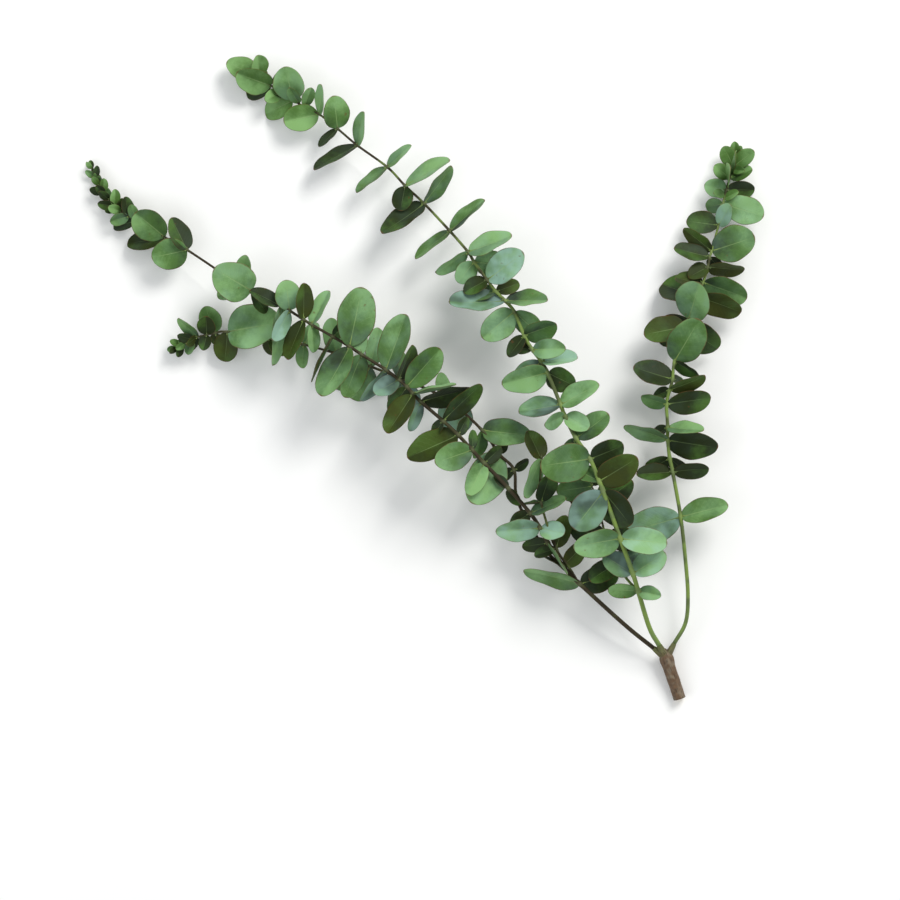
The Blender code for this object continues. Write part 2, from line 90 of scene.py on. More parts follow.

# Shoots from foot to tip, on a grid seen from above: x to the right, y down the page, height in
# millimetres, then the leaves of that pair. A leaf is its heading, reach, rise, tilt and width
# over reach, as in the solid model, and its tone, whose lightness also carries painted shade and
# light.
CENTRE_FOOT = ((650, 628, 22),)
CENTRE = (
    (638, 591, 33, (177, 30, 8, 30, .55, GREEN), (350, 22, 15, 20, .7, PALE)),
    (632, 573, 42, (147, 34, -8, -15, .75, SHADE), (33, 38, 0, 20, .7, BLUE)),
    (619, 538, 48, (190, 47, 6, 25, .62, PALE), (356, 46, 6, 20, .62, BLUE)),
    (602, 491, 50, (309, 43, 2, -32, .72, DARK), (232, 47, 0, -5, .78, SHADE)),
    (598, 481, 50, (30, 42, 18, -15, .74, OLIVE), (150, 30, -16, -35, .6, GREEN)),
    (589, 459, 49, (188, 50, 24, 16, .8, GREEN), (20, 36, -4, -35, .78, DARK)),
    (575, 438, 47, (36, 40, -4, 30, .6, GREEN), (250, 30, -25, -20, .6, GREEN)),
    (564, 416, 45, (205, 22, 45, 25, .7, PALE), (335, 26, 15, 25, .8, PALE)),
    (560, 405, 44, (186, 42, 0, -55, .5, SHADE), (32, 42, 12, 45, .5, PALE)),
    (547, 373, 41, (332, 30, 0, -30, .85, DARK), (196, 46, 10, 30, .6, PALE)),
    (541, 362, 40, (7, 36, 5, 62, .5, BLUE), (218, 38, -12, -10, .6, SHADE)),
    (532, 350, 39, (2, 30, 35, 5, .72, PALE), (170, 20, -30, -20, .7, DARK)),
    (524, 336, 38, (24, 34, 5, -58, .55, GREEN), (232, 26, -5, -40, .6, DARK)),
    (514, 312, 36, (222, 40, 12, 20, .75, PALE), (318, 38, -5, -12, .62, GREEN)),
    (505, 301, 35, (183, 56, 3, -22, .42, SHADE), (3, 42, 8, 60, .42, GREEN)),
    (496, 292, 34, (203, 34, -15, 5, .7, GREEN), (20, 24, -25, 10, .7, OLIVE)),
    (487, 280, 33, (36, 44, 24, 15, .72, BLUE), (202, 26, -5, -35, .7, DARK)),
    (474, 262, 32, (346, 34, -8, 20, .8, PALE), (233, 26, -5, 25, .85, PALE)),
    (468, 252, 31, (22, 46, 14, 50, .45, PALE), (218, 38, 10, 40, .32, PALE)),
    (450, 231, 28, (46, 46, 8, 52, .3, GREEN), (213, 44, 0, -45, .28, GREEN)),
    (424, 203, 25, (48, 46, 5, -42, .3, GREEN), (216, 52, 8, -28, .42, DARK)),
    (405, 185, 23, (258, 25, 14, -35, .9, DARK), (33, 50, 20, 58, .32, PALE)),
    (387, 166, 21, (45, 32, 10, 40, .36, PALE), (215, 40, 2, -50, .3, GREEN)),
    (357, 144, 18, (204, 50, 0, -58, .3, DARK), (83, 32, 28, 45, .4, PALE)),
    (337, 127, 16, (98, 31, 22, -10, .95, GREEN), (222, 26, 0, -50, .4, DARK)),
    (318, 112, 14, (190, 36, -4, 0, .8, FRESH), (82, 28, 35, 45, .4, PALE)),
    (292, 98, 12, (103, 33, 25, 30, 1.0, PALE), (200, 33, -24, -18, .85, FRESH)),
    (270, 83, 10, (166, 34, 30, 35, .75, FRESH), (192, 28, -30, -14, .8, DARK)),
    (258, 74, 9, (92, 20, 35, -40, .9, FRESH), (156, 36, 8, -20, .72, FRESH)),
)

RIGHT_FOOT = ((687, 624, 14), (689, 597, 19), (686, 560, 24))
RIGHT = (
    (681, 517, 26, (17, 48, 8, 20, .5, GREEN), (197, 58, -6, 12, .66, BLUE)),
    (673, 472, 26, (183, 36, 0, -40, .5, DARK), (6, 36, 4, -45, .5, DARK)),
    (670, 458, 26, (318, 24, -30, -30, .6, DARK), (205, 28, -30, -10, .7, DARK)),
    (668, 440, 26, (348, 51, 0, -32, .56, DARK), (162, 46, 12, 58, .3, PALE)),
    (668, 427, 26, (356, 34, 32, 48, .4, PALE), (215, 22, -30, -20, .6, DARK)),
    (667, 404, 26, (6, 45, -4, -32, .55, DARK), (168, 26, 8, 45, .55, GREEN)),
    (670, 390, 26, (16, 36, 22, -12, .4, OLIVE), (200, 18, -35, -10, .7, DARK)),
    (673, 379, 26, (163, 41, 4, -28, .62, DARK), (330, 26, -30, 60, .45, DARK)),
    (675, 361, 25, (326, 28, -8, -60, .4, DARK), (60, 43, 36, -5, .9, GREEN)),
    (686, 326, 24, (188, 42, -4, -28, .68, OLIVE), (325, 42, -8, -28, .75, DARK)),
    (689, 319, 23, (75, 37, 34, 25, 1.0, PALE), (215, 34, -48, 3, 1.0, DARK)),
    (697, 296, 22, (163, 42, -4, -32, .8, DARK), (342, 48, -10, -32, .5, OLIVE)),
    (704, 282, 21, (333, 46, 8, -12, .68, GREEN), (168, 28, -4, -48, .6, OLIVE)),
    (709, 266, 19, (358, 38, -8, -28, .55, OLIVE), (202, 22, -4, -45, .8, OLIVE)),
    (711, 256, 18, (166, 37, 4, -22, .5, DARK), (318, 24, -20, -30, .6, DARK)),
    (713, 250, 17, (18, 44, 16, 10, .85, GREEN), (143, 36, 0, 20, .42, OLIVE)),
    (720, 224, 15, (170, 32, 3, -18, .78, DARK), (62, 22, 40, 30, .8, BLUE)),
    (725, 202, 13, (342, 42, 12, 5, .72, PALE), (190, 18, -40, 10, .9, GREEN)),
    (728, 188, 11, (168, 22, 10, 30, .95, PALE), (2, 30, -24, -24, .65, DARK)),
    (732, 176, 9, (12, 24, 15, 20, .85, FRESH), (140, 20, 10, 5, .8, FRESH)),
    (736, 164, 8, (38, 25, 16, 12, .7, FRESH), (118, 22, 16, 10, .8, FRESH)),
    (738, 154, 7, (95, 14, 25, 5, .8, FRESH), (60, 12, 10, 25, .7, FRESH)),
)

LEFT_FOOT = ((626, 626, 19),)
LEFT_LONG = (
    (580, 584, 27, (166, 57, -14, 50, .3, GREEN), (14, 40, -8, -10, .7, DARK)),
    (563, 566, 30, (136, 20, 10, -40, .5, DARK), (48, 34, -6, -20, .6, OLIVE)),
    (548, 543, 32, (322, 38, 4, 55, .4, PALE), (205, 22, -35, -20, .6, DARK)),
    (540, 528, 34, (340, 28, 8, 28, .75, BLUE), (186, 44, 4, 20, .52, BLUE)),
    (530, 513, 35, (212, 24, -24, -10, .7, DARK), (27, 38, 12, 40, .35, GREEN)),
    (508, 488, 37, (300, 20, -25, -20, .6, DARK), (130, 18, -20, -20, .6, DARK)),
    (484, 463, 39, (240, 36, 4, 5, .6, PALE), (40, 24, -15, -20, .6, DARK)),
    (472, 450, 40, (193, 44, 12, 0, .66, GREEN), (85, 20, -15, -20, .5, DARK)),
    (458, 435, 40.5, (204, 55, -2, -16, .54, OLIVE), (62, 20, -26, -20, .6, DARK)),
    (443, 421, 41, (42, 52, 8, -28, .38, DARK), (232, 20, -34, -20, .6, DARK)),
    (421, 402, 42, (250, 31, -8, 15, .42, SHADE), (14, 52, -2, -40, .35, DARK)),
    (413, 394, 42, (236, 46, 18, -24, .52, OLIVE), (3, 44, 16, 25, .32, PALE)),
    (407, 387, 42, (48, 50, 4, -10, .58, GREEN), (225, 30, -25, -20, .6, DARK)),
    (399, 380, 42, (80, 36, 14, -22, .9, DARK), (205, 28, -5, -20, .75, SHADE)),
    (386, 370, 42, (70, 58, 8, 4, .52, GREEN), (236, 40, -8, 45, .3, SHADE)),
    (362, 355, 41, (240, 46, 0, 22, .42, GREEN), (85, 34, -12, -20, .5, PALE)),
    (350, 347, 41, (77, 59, 12, -14, .66, GREEN), (242, 57, 12, -20, .52, GREEN)),
    (333, 337, 40, (248, 50, -10, -58, .3, OLIVE), (40, 24, -20, -20, .6, GREEN)),
    (312, 325, 39, (66, 38, -4, 30, .42, PALE), (278, 28, -8, 28, .48, PALE)),
    (304, 320, 38, (84, 36, 8, -28, .5, OLIVE), (243, 42, 8, -32, .45, OLIVE)),
    (290, 311, 36, (104, 30, 10, 32, 1.0, PALE), (240, 36, 8, 42, .42, BLUE)),
    (281, 306, 35, (150, 34, 4, -42, .48, DARK), (264, 60, -10, 62, .24, PALE)),
    (252, 291, 28, (150, 42, 22, 14, 1.0, PALE), (300, 24, -25, 10, .6, DARK)),
    (240, 285, 26, (82, 30, 8, 15, .6, GREEN), (205, 26, -20, -20, .7, GREEN)),
    (186, 249, 17, (193, 36, 8, 14, .95, GREEN), (116, 36, 2, -32, .6, DARK)),
    (163, 236, 13, (140, 38, 14, 28, .85, GREEN), (186, 40, -16, -34, .6, DARK)),
    (134, 219, 9, (110, 17, 14, 10, .7, GREEN), (190, 26, -20, -24, .6, DARK)),
)
LEFT_LONG_TIP = ((113, 206, 6.5), (97, 186, 5), (88, 166, 4))

LEFT_SHORT_FOOT = ((573, 577, 28.6), (545, 549, 28), (518, 502, 29))
LEFT_SHORT = (
    (514, 470, 30, (30, 18, -10, -40, .6, DARK), (215, 20, -30, -20, .6, DARK)),
    (499, 454, 29, (242, 54, 20, 16, .76, PALE), (70, 20, -34, -20, .6, DARK)),
    (482, 430, 27, (354, 49, 6, 8, .58, GREEN), (262, 30, -20, 40, .5, GREEN)),
    (445, 398, 23, (300, 37, -46, 3, .97, SHADE), (100, 26, -10, -20, .6, GREEN)),
    (400, 378, 20, (280, 36, -43, 3, .95, SHADE), (95, 30, -8, -20, .6, GREEN)),
    (370, 366, 19, (76, 40, -10, -22, .5, PALE), (240, 36, -42, 3, .92, GREEN)),
    (335, 353, 17, (98, 36, -4, 10, .6, PALE), (285, 35, -41, 3, .92, GREEN)),
    (303, 344, 16, (262, 24, -10, -25, .6, GREEN), (60, 26, -8, 15, .6, PALE)),
    (268, 337, 15, (332, 27, -8, -28, .9, OLIVE), (280, 18, -24, -25, .9, OLIVE)),
    (226, 331, 14, (11, 54, 20, 22, .86, PALE), (264, 30, -14, -12, .88, OLIVE)),
    (214, 332, 13, (112, 28, 12, 8, .85, GREEN), (285, 18, -24, -10, .8, OLIVE)),
    (205, 334, 12, (98, 18, 34, -40, 1.1, DARK), (255, 16, 12, -40, 1.1, DARK)),
    (196, 336, 11, (142, 26, 20, 22, .4, GREEN), (236, 16, -14, -20, .7, DARK)),
)
LEFT_SHORT_TIP = ((184, 342, 9), (174, 347, 7))

UNDER_FOOT = ((638, 591, 33), (627, 579, 29.5))
UNDER_SHOOT = (
    (617, 563, 28, (30, 34, 4, 20, .7, SHADE), (205, 32, -8, -20, .7, DARK)),
    (606, 536, 28, (352, 34, 6, -20, .75, DARK), (170, 36, -4, 20, .7, DARK)),
    (598, 505, 30, (35, 42, 6, 20, .7, DARK), (160, 34, -6, -15, .75, DARK)),
    (592, 486, 31, (75, 24, 10, 0, .7, DARK), (190, 36, -4, 10, .7, GREEN)),
)

BASE_FOOT = ((579, 584, 27.6), (568, 566, 31))
BASE_SHOOT = (
    (556, 548, 34, (73, 34, 0, 0, .62, OLIVE), (190, 20, -30, -20, .6, DARK)),
    (541, 502, 36, (64, 32, -4, -40, .65, DARK), (200, 20, -25, -30, .6, DARK)),
    (541, 459, 38, (112, 31, 2, -32, .68, OLIVE), (246, 42, 12, 28, .38, PALE)),
)


def place(x: float, y: float, height: float) -> Vector:
    """Turn a grid place, right and down the page, and a height in millimetres into metres."""
    return Vector(((x - PAGE_MIDDLE[0]) * GRID, (PAGE_MIDDLE[1] - y) * GRID, height * MM))


def shoot_start(foot: tuple) -> Vector:
    """Find where a shoot's own wood begins on its stub, on the way to its first grid place."""
    fork = place(*FORK)
    return fork + (place(*foot[0]) - fork).normalized() * STUB_REACH


def paint(red: float, green: float, blue: float) -> tuple[float, float, float, float]:
    """Turn a given colour, 0 to 255, into the shader's linear colour.

    Args:
        red: Red share.
        green: Green share.
        blue: Blue share.

    Returns:
        Linear red, green, blue and a full alpha.
    """
    shares = [value / 255.0 for value in (red, green, blue)]
    linear = [s / 12.92 if s <= 0.04045 else ((s + 0.055) / 1.055) ** 2.4 for s in shares]
    return (linear[0], linear[1], linear[2], 1.0)


class Wiring:
    """Adds nodes to one tree and joins them, so that a finish reads as a short recipe."""

    def __init__(self, tree: bpy.types.NodeTree) -> None:
        """Start wiring a material's or a group's node tree."""
        self.tree = tree

    def node(self, kind: str, **settings: object) -> bpy.types.Node:
        """Add a node.

        Args:
            kind: The node's type name.
            **settings: Properties to set on it.

        Returns:
            The new node.
        """
        made = self.tree.nodes.new(kind)
        for name, value in settings.items():
            setattr(made, name, value)
        return made

    def feed(self, socket: bpy.types.NodeSocket, value: object) -> None:
        """Give an input its value: another node's output or a plain constant.

        Args:
            socket: The input.
            value: An output socket, a number or a colour.
        """
        if isinstance(value, bpy.types.NodeSocket):
            self.tree.links.new(value, socket)
        else:
            socket.default_value = value

    def math(self, operation: str, one: object, two: object = 0.0, clamp: bool = False) -> Socket:
        """Add a sum.

        Args:
            operation: The operation's name.
            one: First value.
            two: Second value.
            clamp: Keep the result from 0 to 1.

        Returns:
            The result.
        """
        made = self.node("ShaderNodeMath", operation=operation, use_clamp=clamp)
        self.feed(made.inputs[0], one)
        self.feed(made.inputs[1], two)
        return made.outputs[0]

    def plus(self, one: object, two: object, clamp: bool = False) -> Socket:
        """Add one value to another."""
        return self.math("ADD", one, two, clamp)

    def minus(self, one: object, two: object, clamp: bool = False) -> Socket:
        """Take the second value from the first."""
        return self.math("SUBTRACT", one, two, clamp)

    def times(self, one: object, two: object, clamp: bool = False) -> Socket:
        """Multiply two values."""
        return self.math("MULTIPLY", one, two, clamp)

    def larger(self, one: object, two: object) -> Socket:
        """Take the larger of two values."""
        return self.math("MAXIMUM", one, two)

    def apart(self, value: object, middle: float) -> Socket:
        """Measure how far a value is from a middle."""
        return self.math("ABSOLUTE", self.minus(value, middle))

    def swing(self, mask: object, reach: float) -> Socket:
        """Turn a mask about one half into a swing about nothing."""
        return self.times(self.minus(mask, 0.5), reach)

    def blend(self, share: object, one: object, two: object) -> Socket:
        """Mix two colours.

        Args:
            share: How much of the second colour.
            one: First colour.
            two: Second colour.

        Returns:
            The mixed colour.
        """
        made = self.node("ShaderNodeMix", data_type="RGBA", blend_type="MIX")
        self.feed(made.inputs[0], share)
        self.feed(made.inputs[6], one)
        self.feed(made.inputs[7], two)
        return made.outputs[2]

    def step(self, value: object, low: float, high: float, start: float = 0.0,
             end: float = 1.0) -> Socket:
        """Turn a range of values softly into another.

        Args:
            value: The value.
            low: Where the result is start.
            high: Where the result is end.
            start: Result at low.
            end: Result at high.

        Returns:
            The mapped value.
        """
        made = self.node("ShaderNodeMapRange", interpolation_type="SMOOTHSTEP")
        for socket, item in zip(made.inputs, (value, low, high, start, end)):
            self.feed(socket, item)
        return made.outputs[0]

    def noise(self, where: object, scale: object, detail: float = 3.0,
              roughness: float = 0.55) -> Socket:
        """Add cloudy noise.

        Args:
            where: The coordinates.
            scale: Clouds to the metre, or to the unit of the coordinates.
            detail: How many finer layers.
            roughness: How strong those are.

        Returns:
            Its value, about 0.5 on average.
        """
        made = self.node("ShaderNodeTexNoise")
        self.feed(made.inputs["Vector"], where)
        self.feed(made.inputs["Scale"], scale)
        self.feed(made.inputs["Detail"], detail)
        self.feed(made.inputs["Roughness"], roughness)
        return made.outputs[0]

    def split(self, vector: object) -> tuple[Socket, Socket]:
        """Take a flat coordinate apart.

        Args:
            vector: The coordinate.

        Returns:
            Its first and second number.
        """
        parts = self.node("ShaderNodeSeparateXYZ")
        self.feed(parts.inputs[0], vector)
        return parts.outputs[0], parts.outputs[1]

    def where(self) -> Socket:
        """Read the place on the sprig, in metres."""
        return self.node("ShaderNodeTexCoord").outputs["Object"]

    def blade(self) -> Socket:
        """Read the flat coordinates: along and across a leaf, or round and along a tube."""
        return self.node("ShaderNodeUVMap", uv_map="blade").outputs["UV"]

    def mark(self, name: str) -> Socket:
        """Read one of the mesh's own point values."""
        return self.node("ShaderNodeAttribute", attribute_name=name).outputs["Fac"]

    def group(self, made: bpy.types.NodeTree, **values: object) -> bpy.types.Node:
        """Place a shared effect.

        Args:
            made: The effect's group.
            **values: Its inputs by name.

        Returns:
            The group's node.
        """
        item = self.node("ShaderNodeGroup", node_tree=made)
        for name, value in values.items():
            self.feed(item.inputs[name], value)
        return item

    def relief(self, shader: bpy.types.Node, height: object, strength: float, depth: float) -> None:
        """Give a shader its fine relief.

        Args:
            shader: The Principled shader.
            height: The relief's height, about 0 to 1.
            strength: How strongly it shows.
            depth: What a height of 1 stands for, in metres.
        """
        bump = self.node("ShaderNodeBump")
        bump.inputs["Strength"].default_value = strength
        bump.inputs["Distance"].default_value = depth
        self.feed(bump.inputs["Height"], height)
        self.feed(shader.inputs["Normal"], bump.outputs[0])


def new_group(name: str, inputs: dict[str, str],
              outputs: dict[str, str]) -> tuple[bpy.types.NodeTree, Wiring, dict, dict]:
    """Start a shared effect.

    Args:
        name: The group's name.
        inputs: Input names and socket types.
        outputs: Output names and socket types.

    Returns:
        The group, its wiring, and its inner ends by name.
    """
    tree = bpy.data.node_groups.new(name, "ShaderNodeTree")
    for in_out, sockets in (("INPUT", inputs), ("OUTPUT", outputs)):
        for title, kind in sockets.items():
            tree.interface.new_socket(name=title, in_out=in_out, socket_type=kind)
    wires = Wiring(tree)
    start = wires.node("NodeGroupInput")
    end = wires.node("NodeGroupOutput")
    return tree, wires, {s.name: s for s in start.outputs}, {s.name: s for s in end.inputs}


class SharedEffects:
    """The effects that several finishes use, each built once as a node group."""

    def __init__(self) -> None:
        """Build the groups."""
        self.clouds = self.make_clouds()
        self.skin = self.make_skin()
        self.veins = self.make_veins()
        # painted light and shade of a folded leaf
        self.fold = self.make_painted_fold_light()

    def make_clouds(self) -> bpy.types.NodeTree:
        """Soft uneven patches, as of wax that is rubbed off in places.

        Returns:
            The group, whose output Mask runs from 0 to 1.
        """
        tree, wires, given, put = new_group(
            "soft clouds", {"Where": VECTOR, "Scale": VALUE, "Low": VALUE, "High": VALUE},
            {"Mask": VALUE})
        cloud = wires.noise(given["Where"], given["Scale"], 1.6, 0.45)
        wires.feed(put["Mask"], wires.step(cloud, given["Low"], given["High"]))
        return tree

    def make_skin(self) -> bpy.types.NodeTree:
        """Fine grain of a plant's skin: pores and faint unevenness.

        Returns:
            The group, with Height for relief and Speck for tiny spots.
        """
        tree, wires, given, put = new_group(
            "plant skin", {"Where": VECTOR, "Scale": VALUE}, {"Height": VALUE, "Speck": VALUE})
        cells = wires.node("ShaderNodeTexVoronoi", feature="F1")
        wires.feed(cells.inputs["Vector"], given["Where"])
        wires.feed(cells.inputs["Scale"], given["Scale"])
        wires.feed(put["Speck"], wires.step(cells.outputs["Distance"], 0.26, 0.10))
        grain = wires.noise(given["Where"], wires.times(given["Scale"], 0.35), 4.0, 0.6)
        pores = wires.times(cells.outputs["Distance"], 0.4)
        wires.feed(put["Height"], wires.plus(grain, pores))
        return tree

    def make_veins(self) -> bpy.types.NodeTree:
        """The net of a leaf: midrib, side veins, the vein inside the edge and the edge itself.

        Returns:
            The group, whose outputs are masks from 0 to 1.
        """
        tree, wires, given, put = new_group(
            "leaf veins", {"Blade": VECTOR, "Where": VECTOR, "Start": VALUE},
            {"Midrib": VALUE, "Side Veins": VALUE, "Edge": VALUE, "Relief": VALUE})
        along, across = wires.split(given["Blade"])
        off = wires.times(wires.apart(across, 0.5), 2.0)
        wander = wires.minus(wires.noise(given["Where"], 260.0, 2.0), 0.5)
        rib_width = wires.step(along, 0.0, 1.0, 0.060, 0.012)
        midrib = wires.minus(1.0, wires.math("DIVIDE", off, rib_width), clamp=True)
        fade = wires.step(along, 0.97, 0.72)
        wires.feed(put["Midrib"], wires.times(wires.step(midrib, 0.0, 0.7), fade))
        # Side veins leave the midrib at a slant and bend towards the tip
        slant = wires.math("POWER", off, 0.85)
        run = wires.minus(along, wires.times(slant, 0.30))
        run = wires.plus(run, wires.times(wander, 0.07))
        turns = wires.plus(wires.times(run, 9.5), given["Start"])
        lines = wires.step(wires.apart(wires.math("FRACT", turns), 0.5), 0.13, 0.02)
        inner = wires.step(wires.apart(wires.plus(off, wander), 0.84), 0.035, 0.008)
        reach = wires.times(wires.step(off, 0.90, 0.66), wires.step(along, 0.98, 0.85))
        net = wires.larger(wires.times(lines, reach), wires.times(inner, 0.8))
        wires.feed(put["Side Veins"], net)
        # The brown line along the rim wavers a little
        side_edge = wires.step(wires.plus(off, wires.times(wander, 0.11)), 0.925, 0.985)
        end_edge = wires.step(wires.plus(along, wires.times(wander, 0.03)), 0.965, 0.99)
        wires.feed(put["Edge"], wires.larger(side_edge, end_edge))
        wires.feed(put["Relief"], wires.plus(wires.times(net, 0.35), midrib))
        return tree

    def make_painted_fold_light(self) -> bpy.types.NodeTree:
        """Painted light and shade of a gently folded blade: one half painted paler as if it faced
        the light, the foot painted darker than the tip as if it lay in the stem's shade.

        Returns:
            The group, whose output, the painted light and shade, is added to the leaf's lightness.
        """
        tree, wires, given, put = new_group(
            "leaf fold painted light", {"Blade": VECTOR, "Start": VALUE}, {"Lift": VALUE})
        along, across = wires.split(given["Blade"])
        # painted light: one half of the blade paler, the other darker
        half = wires.step(across, 0.40, 0.60, -1.0, 1.0)
        depth = wires.step(given["Start"], 0.0, 1.0, -0.17, 0.17)
        # painted shade towards the foot, painted light towards the tip
        rise = wires.step(along, 0.0, 0.9, -0.22, 0.08)
        wires.feed(put["Lift"], wires.plus(wires.times(half, depth), rise))
        return tree

    def patches(self, wires: Wiring, where: object, scale: float, low: float,
                high: float) -> Socket:
        """Place the soft clouds in a material and give their mask."""
        return wires.group(self.clouds, Where=where, Scale=scale, Low=low, High=high).outputs[0]

    def grain(self, wires: Wiring, where: object, scale: float) -> bpy.types.Node:
        """Place the plant's skin in a material and give its node."""
        return wires.group(self.skin, Where=where, Scale=scale)


def new_material(name: str) -> tuple[bpy.types.Material, Wiring, bpy.types.Node]:
    """Start a finish.

    Args:
        name: The material's name.

    Returns:
        The material, its wiring and its Principled shader.
    """
    made = bpy.data.materials.new(name)
    made.use_nodes = True
    return made, Wiring(made.node_tree), made.node_tree.nodes["Principled BSDF"]


@dataclass(frozen=True)
class LeafFinish:
    """The leaf's waxy green skin, from deep green to pale mint under a blue bloom. How light or
    dark each leaf and each half of it is carries painted light and shade.
    """

    deep: tuple = paint(22, 35, 3)
    middle: tuple = paint(71, 108, 39)
    light: tuple = paint(127, 170, 102)
    bloom: tuple = paint(158, 194, 184)
    olive: tuple = paint(62, 68, 18)
    rib: tuple = paint(148, 176, 116)
    edge: tuple = paint(98, 62, 36)
    under: tuple = paint(66, 90, 56)
    broad_clouds: tuple = (48.0, 0.28, 0.72)      # clouds to the metre, mask from, mask to
    small_clouds: tuple = (85.0, 0.25, 0.75)
    crinkle: tuple = (330.0, 4.0, 0.62)           # waves to the metre, layers, their strength
    spots: tuple = (210.0, 2.0, 0.5)
    spot_range: tuple = (0.71, 0.76)
    pore_scale: float = 2200.0
    cloud_swing: float = 0.40
    crinkle_swing: float = 0.36
    shine: float = 0.12
    relief: tuple = (0.40, 0.0004)                # strength, depth in metres

    def make(self, effects: SharedEffects) -> bpy.types.Material:
        """Wire the material.

        Args:
            effects: The shared groups.

        Returns:
            The leaf's material.
        """
        made, wires, shader = new_material("leaf_skin")
        where, blade = wires.where(), wires.blade()
        # the mark light is each leaf's lightness, partly its own tone and partly painted shade and
        # light
        marks = ("light", "bloom", "warm", "side", "start")
        light, bloom, warm, side, start = (wires.mark(name) for name in marks)
        broad = effects.patches(wires, where, *self.broad_clouds)
        patch = effects.patches(wires, where, *self.small_clouds)
        skin = effects.grain(wires, where, self.pore_scale)
        veins = wires.group(effects.veins, Blade=blade, Where=where, Start=start)
        # the fold's painted light and shade
        fold = wires.group(effects.fold, Blade=blade, Start=start).outputs[0]
        crinkle = wires.noise(where, *self.crinkle)

        # The green's lightness: the leaf's own tone with its painted shade and light, then clouds,
        # crinkle and the fold's painted light and shade
        level = wires.plus(light, wires.swing(broad, self.cloud_swing))
        level = wires.plus(level, wires.swing(crinkle, self.crinkle_swing))
        level = wires.plus(level, fold, clamp=True)
        colour = wires.blend(wires.step(level, 0.0, 0.5), self.deep, self.middle)
        colour = wires.blend(wires.step(level, 0.45, 1.0), colour, self.light)

        # Olive warmth, the blue film of wax, pores and the duller underside
        warmth = wires.times(warm, wires.step(patch, 0.0, 1.0, 0.62, 0.95))
        colour = wires.blend(warmth, colour, self.olive)
        film = wires.times(bloom, wires.step(patch, 1.0, 0.0, 0.30, 0.85), clamp=True)
        colour = wires.blend(film, colour, self.bloom)
        colour = wires.blend(wires.times(skin.outputs["Speck"], 0.08), colour, self.deep)
        colour = wires.blend(wires.times(side, 0.45), colour, self.under)

        # Veins show less on dark leaves, then the brown rim and a few spots
        net = wires.times(veins.outputs["Side Veins"], wires.step(level, 0.2, 0.8, 0.0, 0.10))
        colour = wires.blend(net, colour, self.rib)
        rib = wires.times(veins.outputs["Midrib"], wires.step(level, 0.0, 0.6, 0.20, 0.42))
        colour = wires.blend(rib, colour, self.rib)
        spot = wires.step(wires.noise(where, *self.spots), *self.spot_range)
        worn = wires.larger(wires.times(veins.outputs["Edge"], 0.70), wires.times(spot, 0.45))
        wires.feed(shader.inputs["Base Color"], wires.blend(worn, colour, self.edge))
        wires.feed(shader.inputs["Roughness"], wires.step(film, 0.0, 0.7, 0.50, 0.70))
        shader.inputs["Specular IOR Level"].default_value = self.shine

        # Ribs sink into the upper face and stand out of the lower one
        ribs = wires.times(veins.outputs["Relief"], wires.step(side, 0.0, 1.0, -1.0, 1.0))
        grain = wires.plus(wires.times(skin.outputs["Height"], 0.12), wires.times(crinkle, 0.9))
        wires.relief(shader, wires.plus(ribs, grain), *self.relief)
        return made


@dataclass(frozen=True)
class StemFinish:
    """The young stem's skin: yellow-green where it is vigorous, brown where it hardens."""

    green: tuple = paint(116, 140, 66)
    grey: tuple = paint(98, 118, 82)
    brown: tuple = paint(52, 44, 27)
    joint: tuple = paint(128, 144, 98)
    clouds: tuple = (95.0, 0.34, 0.66)
    cloud_swing: float = 0.45
    pore_scale: float = 1800.0
    shine: float = 0.25
    relief: tuple = (0.4, 0.0003)

    def make(self, effects: SharedEffects) -> bpy.types.Material:
        """Wire the material.

        Args:
            effects: The shared groups.

        Returns:
            The stem's material.
        """
        made, wires, shader = new_material("stem_skin")
        where = wires.where()
        hard, joint = wires.mark("hard"), wires.mark("joint")
        patch = effects.patches(wires, where, *self.clouds)
        skin = effects.grain(wires, where, self.pore_scale)
        level = wires.plus(hard, wires.swing(patch, self.cloud_swing), clamp=True)
        colour = wires.blend(wires.step(patch, 0.2, 1.0, 0.0, 0.5), self.green, self.grey)
        colour = wires.blend(wires.step(level, 0.2, 0.85), colour, self.brown)
        colour = wires.blend(wires.times(joint, 0.30), colour, self.joint)
        colour = wires.blend(wires.times(skin.outputs["Speck"], 0.25), colour, self.brown)
        wires.feed(shader.inputs["Base Color"], colour)
        wires.feed(shader.inputs["Roughness"], wires.step(level, 0.0, 1.0, 0.45, 0.70))
        shader.inputs["Specular IOR Level"].default_value = self.shine
        wires.relief(shader, skin.outputs["Height"], *self.relief)
        return made


